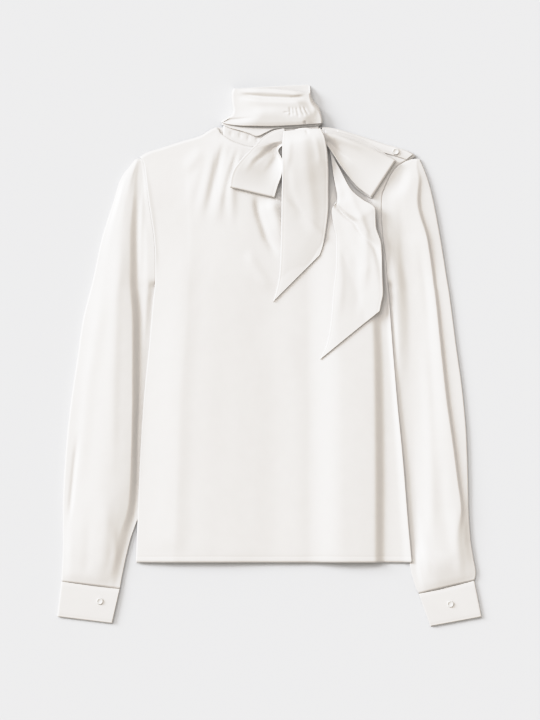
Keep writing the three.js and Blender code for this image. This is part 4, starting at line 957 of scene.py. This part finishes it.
LOOPS = [
    {
        "node": "loop_left", "cut": (0.065, 0.18), "turn_out": (-0.25, -0.97, 3),
        "upper": ruled(
            [(22, 312), (-4, 306.5), (-20, 303), (-32, 292), (-42, 281.5), (-52, 268),
             (-56, 255), (-57, 246)],
            [(22.5, 307), (12, 296), (19, 279), (17.5, 262), (12, 245), (8, 231)],
        ),
        "lower": ruled(
            [(22, 329), (8, 326), (-8, 317), (-20, 305), (-32, 292), (-44, 277), (-52, 262), (-57, 247)],
            [(26, 306), (20, 298), (18, 282), (17, 262), (12, 245), (8, 231)],
        ),
        "high": 18, "tilt": 1, "sinks": 8, "sinks_from": 1 / 2, "dish": 12, "skew": 2.2,
        "lower_z": left_lower_z,
        "folds": [
            ([(18, 309), (-6, 292), (-30, 272)], 4, 5, -1.2, 0.2, 0.4),
            ([(18, 306), (2, 284), (-14, 262)], 4, 5, 0.8, 0.2, 0.5),
            ([(-2, 300), (-24, 284), (-40, 262)], 5, 4, 0.7, 0.3, 0.4),
        ],
    },
    {
        "node": "loop_right", "cut": (0.065, 0.18), "turn_out": (0.86, -0.5, 1.6),
        "upper": ruled(
            [(77.4, 321), (90, 320.5), (110, 314), (138, 304), (160, 293), (180, 283)],
            [(77.4, 311), (88, 296), (106, 270), (120, 252), (131, 241), (145, 231)],
        ),
        "lower": ruled(
            [(80, 327), (100, 324), (127, 316.5), (146, 306.5), (164, 295), (181, 283.5)],
            [(82, 306), (92, 288), (110, 262), (124, 243), (134, 235), (146, 228)],
        ),
        "high": 16.5, "tilt": 0, "sinks": 9, "sinks_from": 1 / 6, "dish": 9, "skew": 1.4,
        "lower_z": lambda x, y: front_height(x, y) + LOOP_CLEAR + TIE + PLY_GAP + CLOTH,
        "folds": [
            ([(80, 312), (98, 296), (120, 276)], 4, 5, -2.0, 0.1, 0.6),
            ([(82, 319), (110, 309), (140, 296)], 3, 4, 0.7, 0.2, 0.4),
            ([(88, 304), (112, 280), (132, 262)], 4, 5, 0.7, 0.2, 0.5),
        ],
    },
]


def loop_place(loop):
    turn_x, turn_y, reach = loop["turn_out"]

    def place(u, v):
        top_v = np.clip(v / TURN_FROM, 0, 1)
        low_v = np.clip((1 - v) / (1 - TURN_TO), 0, 1)
        x, y = loop["upper"](u, top_v)
        z = loop_top_z(loop, u, top_v) + lay_folds(x, y, loop["folds"]) * ease((1 - top_v) * 4)
        low_x, low_y = loop["lower"](u, low_v)
        low_z = loop["lower_z"](low_x, low_y) - TIE
        turn = np.clip((v - TURN_FROM) / (TURN_TO - TURN_FROM), 0, 1)
        angle = np.pi / 2 - np.pi * turn
        half = (z - low_z) / 2
        turning = (v > TURN_FROM) & (v < TURN_TO)
        swing = reach * np.cos(angle)
        arc_x = mix(x, low_x, turn) + turn_x * swing
        arc_y = mix(y, low_y, turn) + turn_y * swing
        arc_z = z - half + half * np.sin(angle)
        below = v >= TURN_TO
        x = np.where(turning, arc_x, np.where(below, low_x, x))
        y = np.where(turning, arc_y, np.where(below, low_y, y))
        return x, y, np.where(turning, arc_z, np.where(below, low_z, z))

    return place


for loop in LOOPS:
    node, cut = loop["node"], loop["cut"]
    finish = tie_satin("satin_" + node, cut)
    piece = cut_cloth(node + "_cloth", 60, 150, loop_place(loop), finish, cut, LOOP_CLOTH)
    piece.data.flip_normals()
    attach(piece, "root")
    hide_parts(node)

# Front tail: it comes over the knot and lies on top, a little crowned, with one crease.
FRONT_TAIL = ruled(
    [(20.5, 324), (18.5, 305), (18.3, 268), (17.5, 225), (16.5, 168), (14.5, 120), (9, 90), (5, 77.5)],
    [(74, 328), (80, 314), (84, 290), (85.5, 262), (85.5, 218), (82, 182), (78, 160), (73, 145.5)],
)
front_tail_base = soft_line([
    [0, 20.9], [0.1, 22.9], [0.22, 20.8], [0.4, 15.2], [0.6, 11], [0.8, 9], [1, 6.8],
])
CROWN = {"high": 2.2, "from": 0.08}
CREASE = {"x": 52, "y": 196, "slope": 0.92, "wide": 8, "high": 1.8}
FRONT_TAIL_FOLDS = [
    ([(48, 326), (52, 280), (60, 220), (66, 160)], 9, 10, 1.2, 0.1, 0.3),
    ([(24, 285), (28, 240), (46, 200), (66, 180)], 6, 8, -1.1, 0.2, 0.3),
    ([(30, 318), (28, 290), (24, 262)], 4, 5, 0.7, 0.3, 0.4),
    ([(64, 322), (70, 298), (74, 270)], 4, 4, 0.7, 0.3, 0.4),
    ([(52, 330), (56, 318)], 2, 2, -1.0, 0.2, 0.3),
]
FRONT_CUT = (0.065, 0.27)


def front_tail_place(u, v):
    v = 1 - v
    x, y = FRONT_TAIL(u, v)
    crown = CROWN["high"] * np.sin(np.pi * u) * (1 - v) * ease(v / CROWN["from"])
    off_crease = y - CREASE["y"] + CREASE["slope"] * (x - CREASE["x"])
    crease = CREASE["high"] * np.exp(-((off_crease / CREASE["wide"]) ** 2))
    support = np.maximum(front_tail_base(v), front_height(x, y) + OVER_FRONT)
    z = support + crown + crease + lay_folds(x, y, FRONT_TAIL_FOLDS)
    return x, y, soften(z, 1) + edge_roll(u, FRONT_CUT[0])


front_tail_satin = tie_satin("satin_tail_front", FRONT_CUT)
tail = cut_cloth("tail_front_cloth", 60, 140, front_tail_place, front_tail_satin, FRONT_CUT, TAIL_CLOTH)
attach(tail, "root")
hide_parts("tail_front")

# Studio: a plain pale surface under the blouse, a large soft light from the upper left and a soft
# fill. The camera looks straight down.
floor_mesh = bpy.data.meshes.new("floor")
bm = bmesh.new()
bmesh.ops.create_grid(bm, x_segments=1, y_segments=1, size=4)
bmesh.ops.translate(bm, verts=bm.verts, vec=(0, 0, -0.0004))
bm.to_mesh(floor_mesh)
bm.free()
floor = bpy.data.objects.new("floor", floor_mesh)
bpy.context.scene.collection.objects.link(floor)
paper = bpy.data.materials.new("floor_paper")
paper.use_nodes = True
paper.node_tree.nodes["Principled BSDF"].inputs["Base Color"].default_value = (0.643, 0.643, 0.638, 1)
paper.node_tree.nodes["Principled BSDF"].inputs["Roughness"].default_value = 0.9
floor_mesh.materials.append(paper)

# Each light: where it shines from, its strength and how wide it looks.
LIGHTS = [
    ("side", (-1.0, 0.45, 0.44), 3.2, 26),
    ("key", (-0.3, 0.6, 1.2), 1.5, 50),
]
for name, place, strength, spread in LIGHTS:
    lamp = bpy.data.lights.new(name, "SUN")
    lamp.color = (0.95, 0.985, 1.06)
    lamp.energy = strength
    lamp.angle = np.radians(spread)
    made = bpy.data.objects.new(name, lamp)
    made.location = place
    made.rotation_euler = made.location.to_track_quat("Z", "Y").to_euler()
    bpy.context.scene.collection.objects.link(made)

world = bpy.data.worlds.new("studio")
world.use_nodes = True
world.node_tree.nodes["Background"].inputs["Color"].default_value = (1.06, 1.0, 0.925, 1)
world.node_tree.nodes["Background"].inputs["Strength"].default_value = 0.53
bpy.context.scene.world = world
view = bpy.context.scene.view_settings
view.view_transform = "Standard"
# A gentle shoulder, like film, so that bright folds keep their form.
view.use_curve_mapping = True
view.curve_mapping.white_level = (1.5, 1.5, 1.5)
for shade, shown in [(0.2, 0.255), (0.3, 0.405), (0.57, 0.853), (0.8, 0.972)]:
    view.curve_mapping.curves[3].points.new(shade, shown)
view.curve_mapping.update()

FRAME_HEIGHT = 1.044
CAMERA_DISTANCE = 5.0
camera_data = bpy.data.cameras.new("camera")
camera_data.sensor_width = 36
camera_data.lens = camera_data.sensor_width * CAMERA_DISTANCE / FRAME_HEIGHT
camera = bpy.data.objects.new("camera", camera_data)
camera.location = (0.0007, -0.0065, CAMERA_DISTANCE)
bpy.context.scene.collection.objects.link(camera)
bpy.context.scene.camera = camera
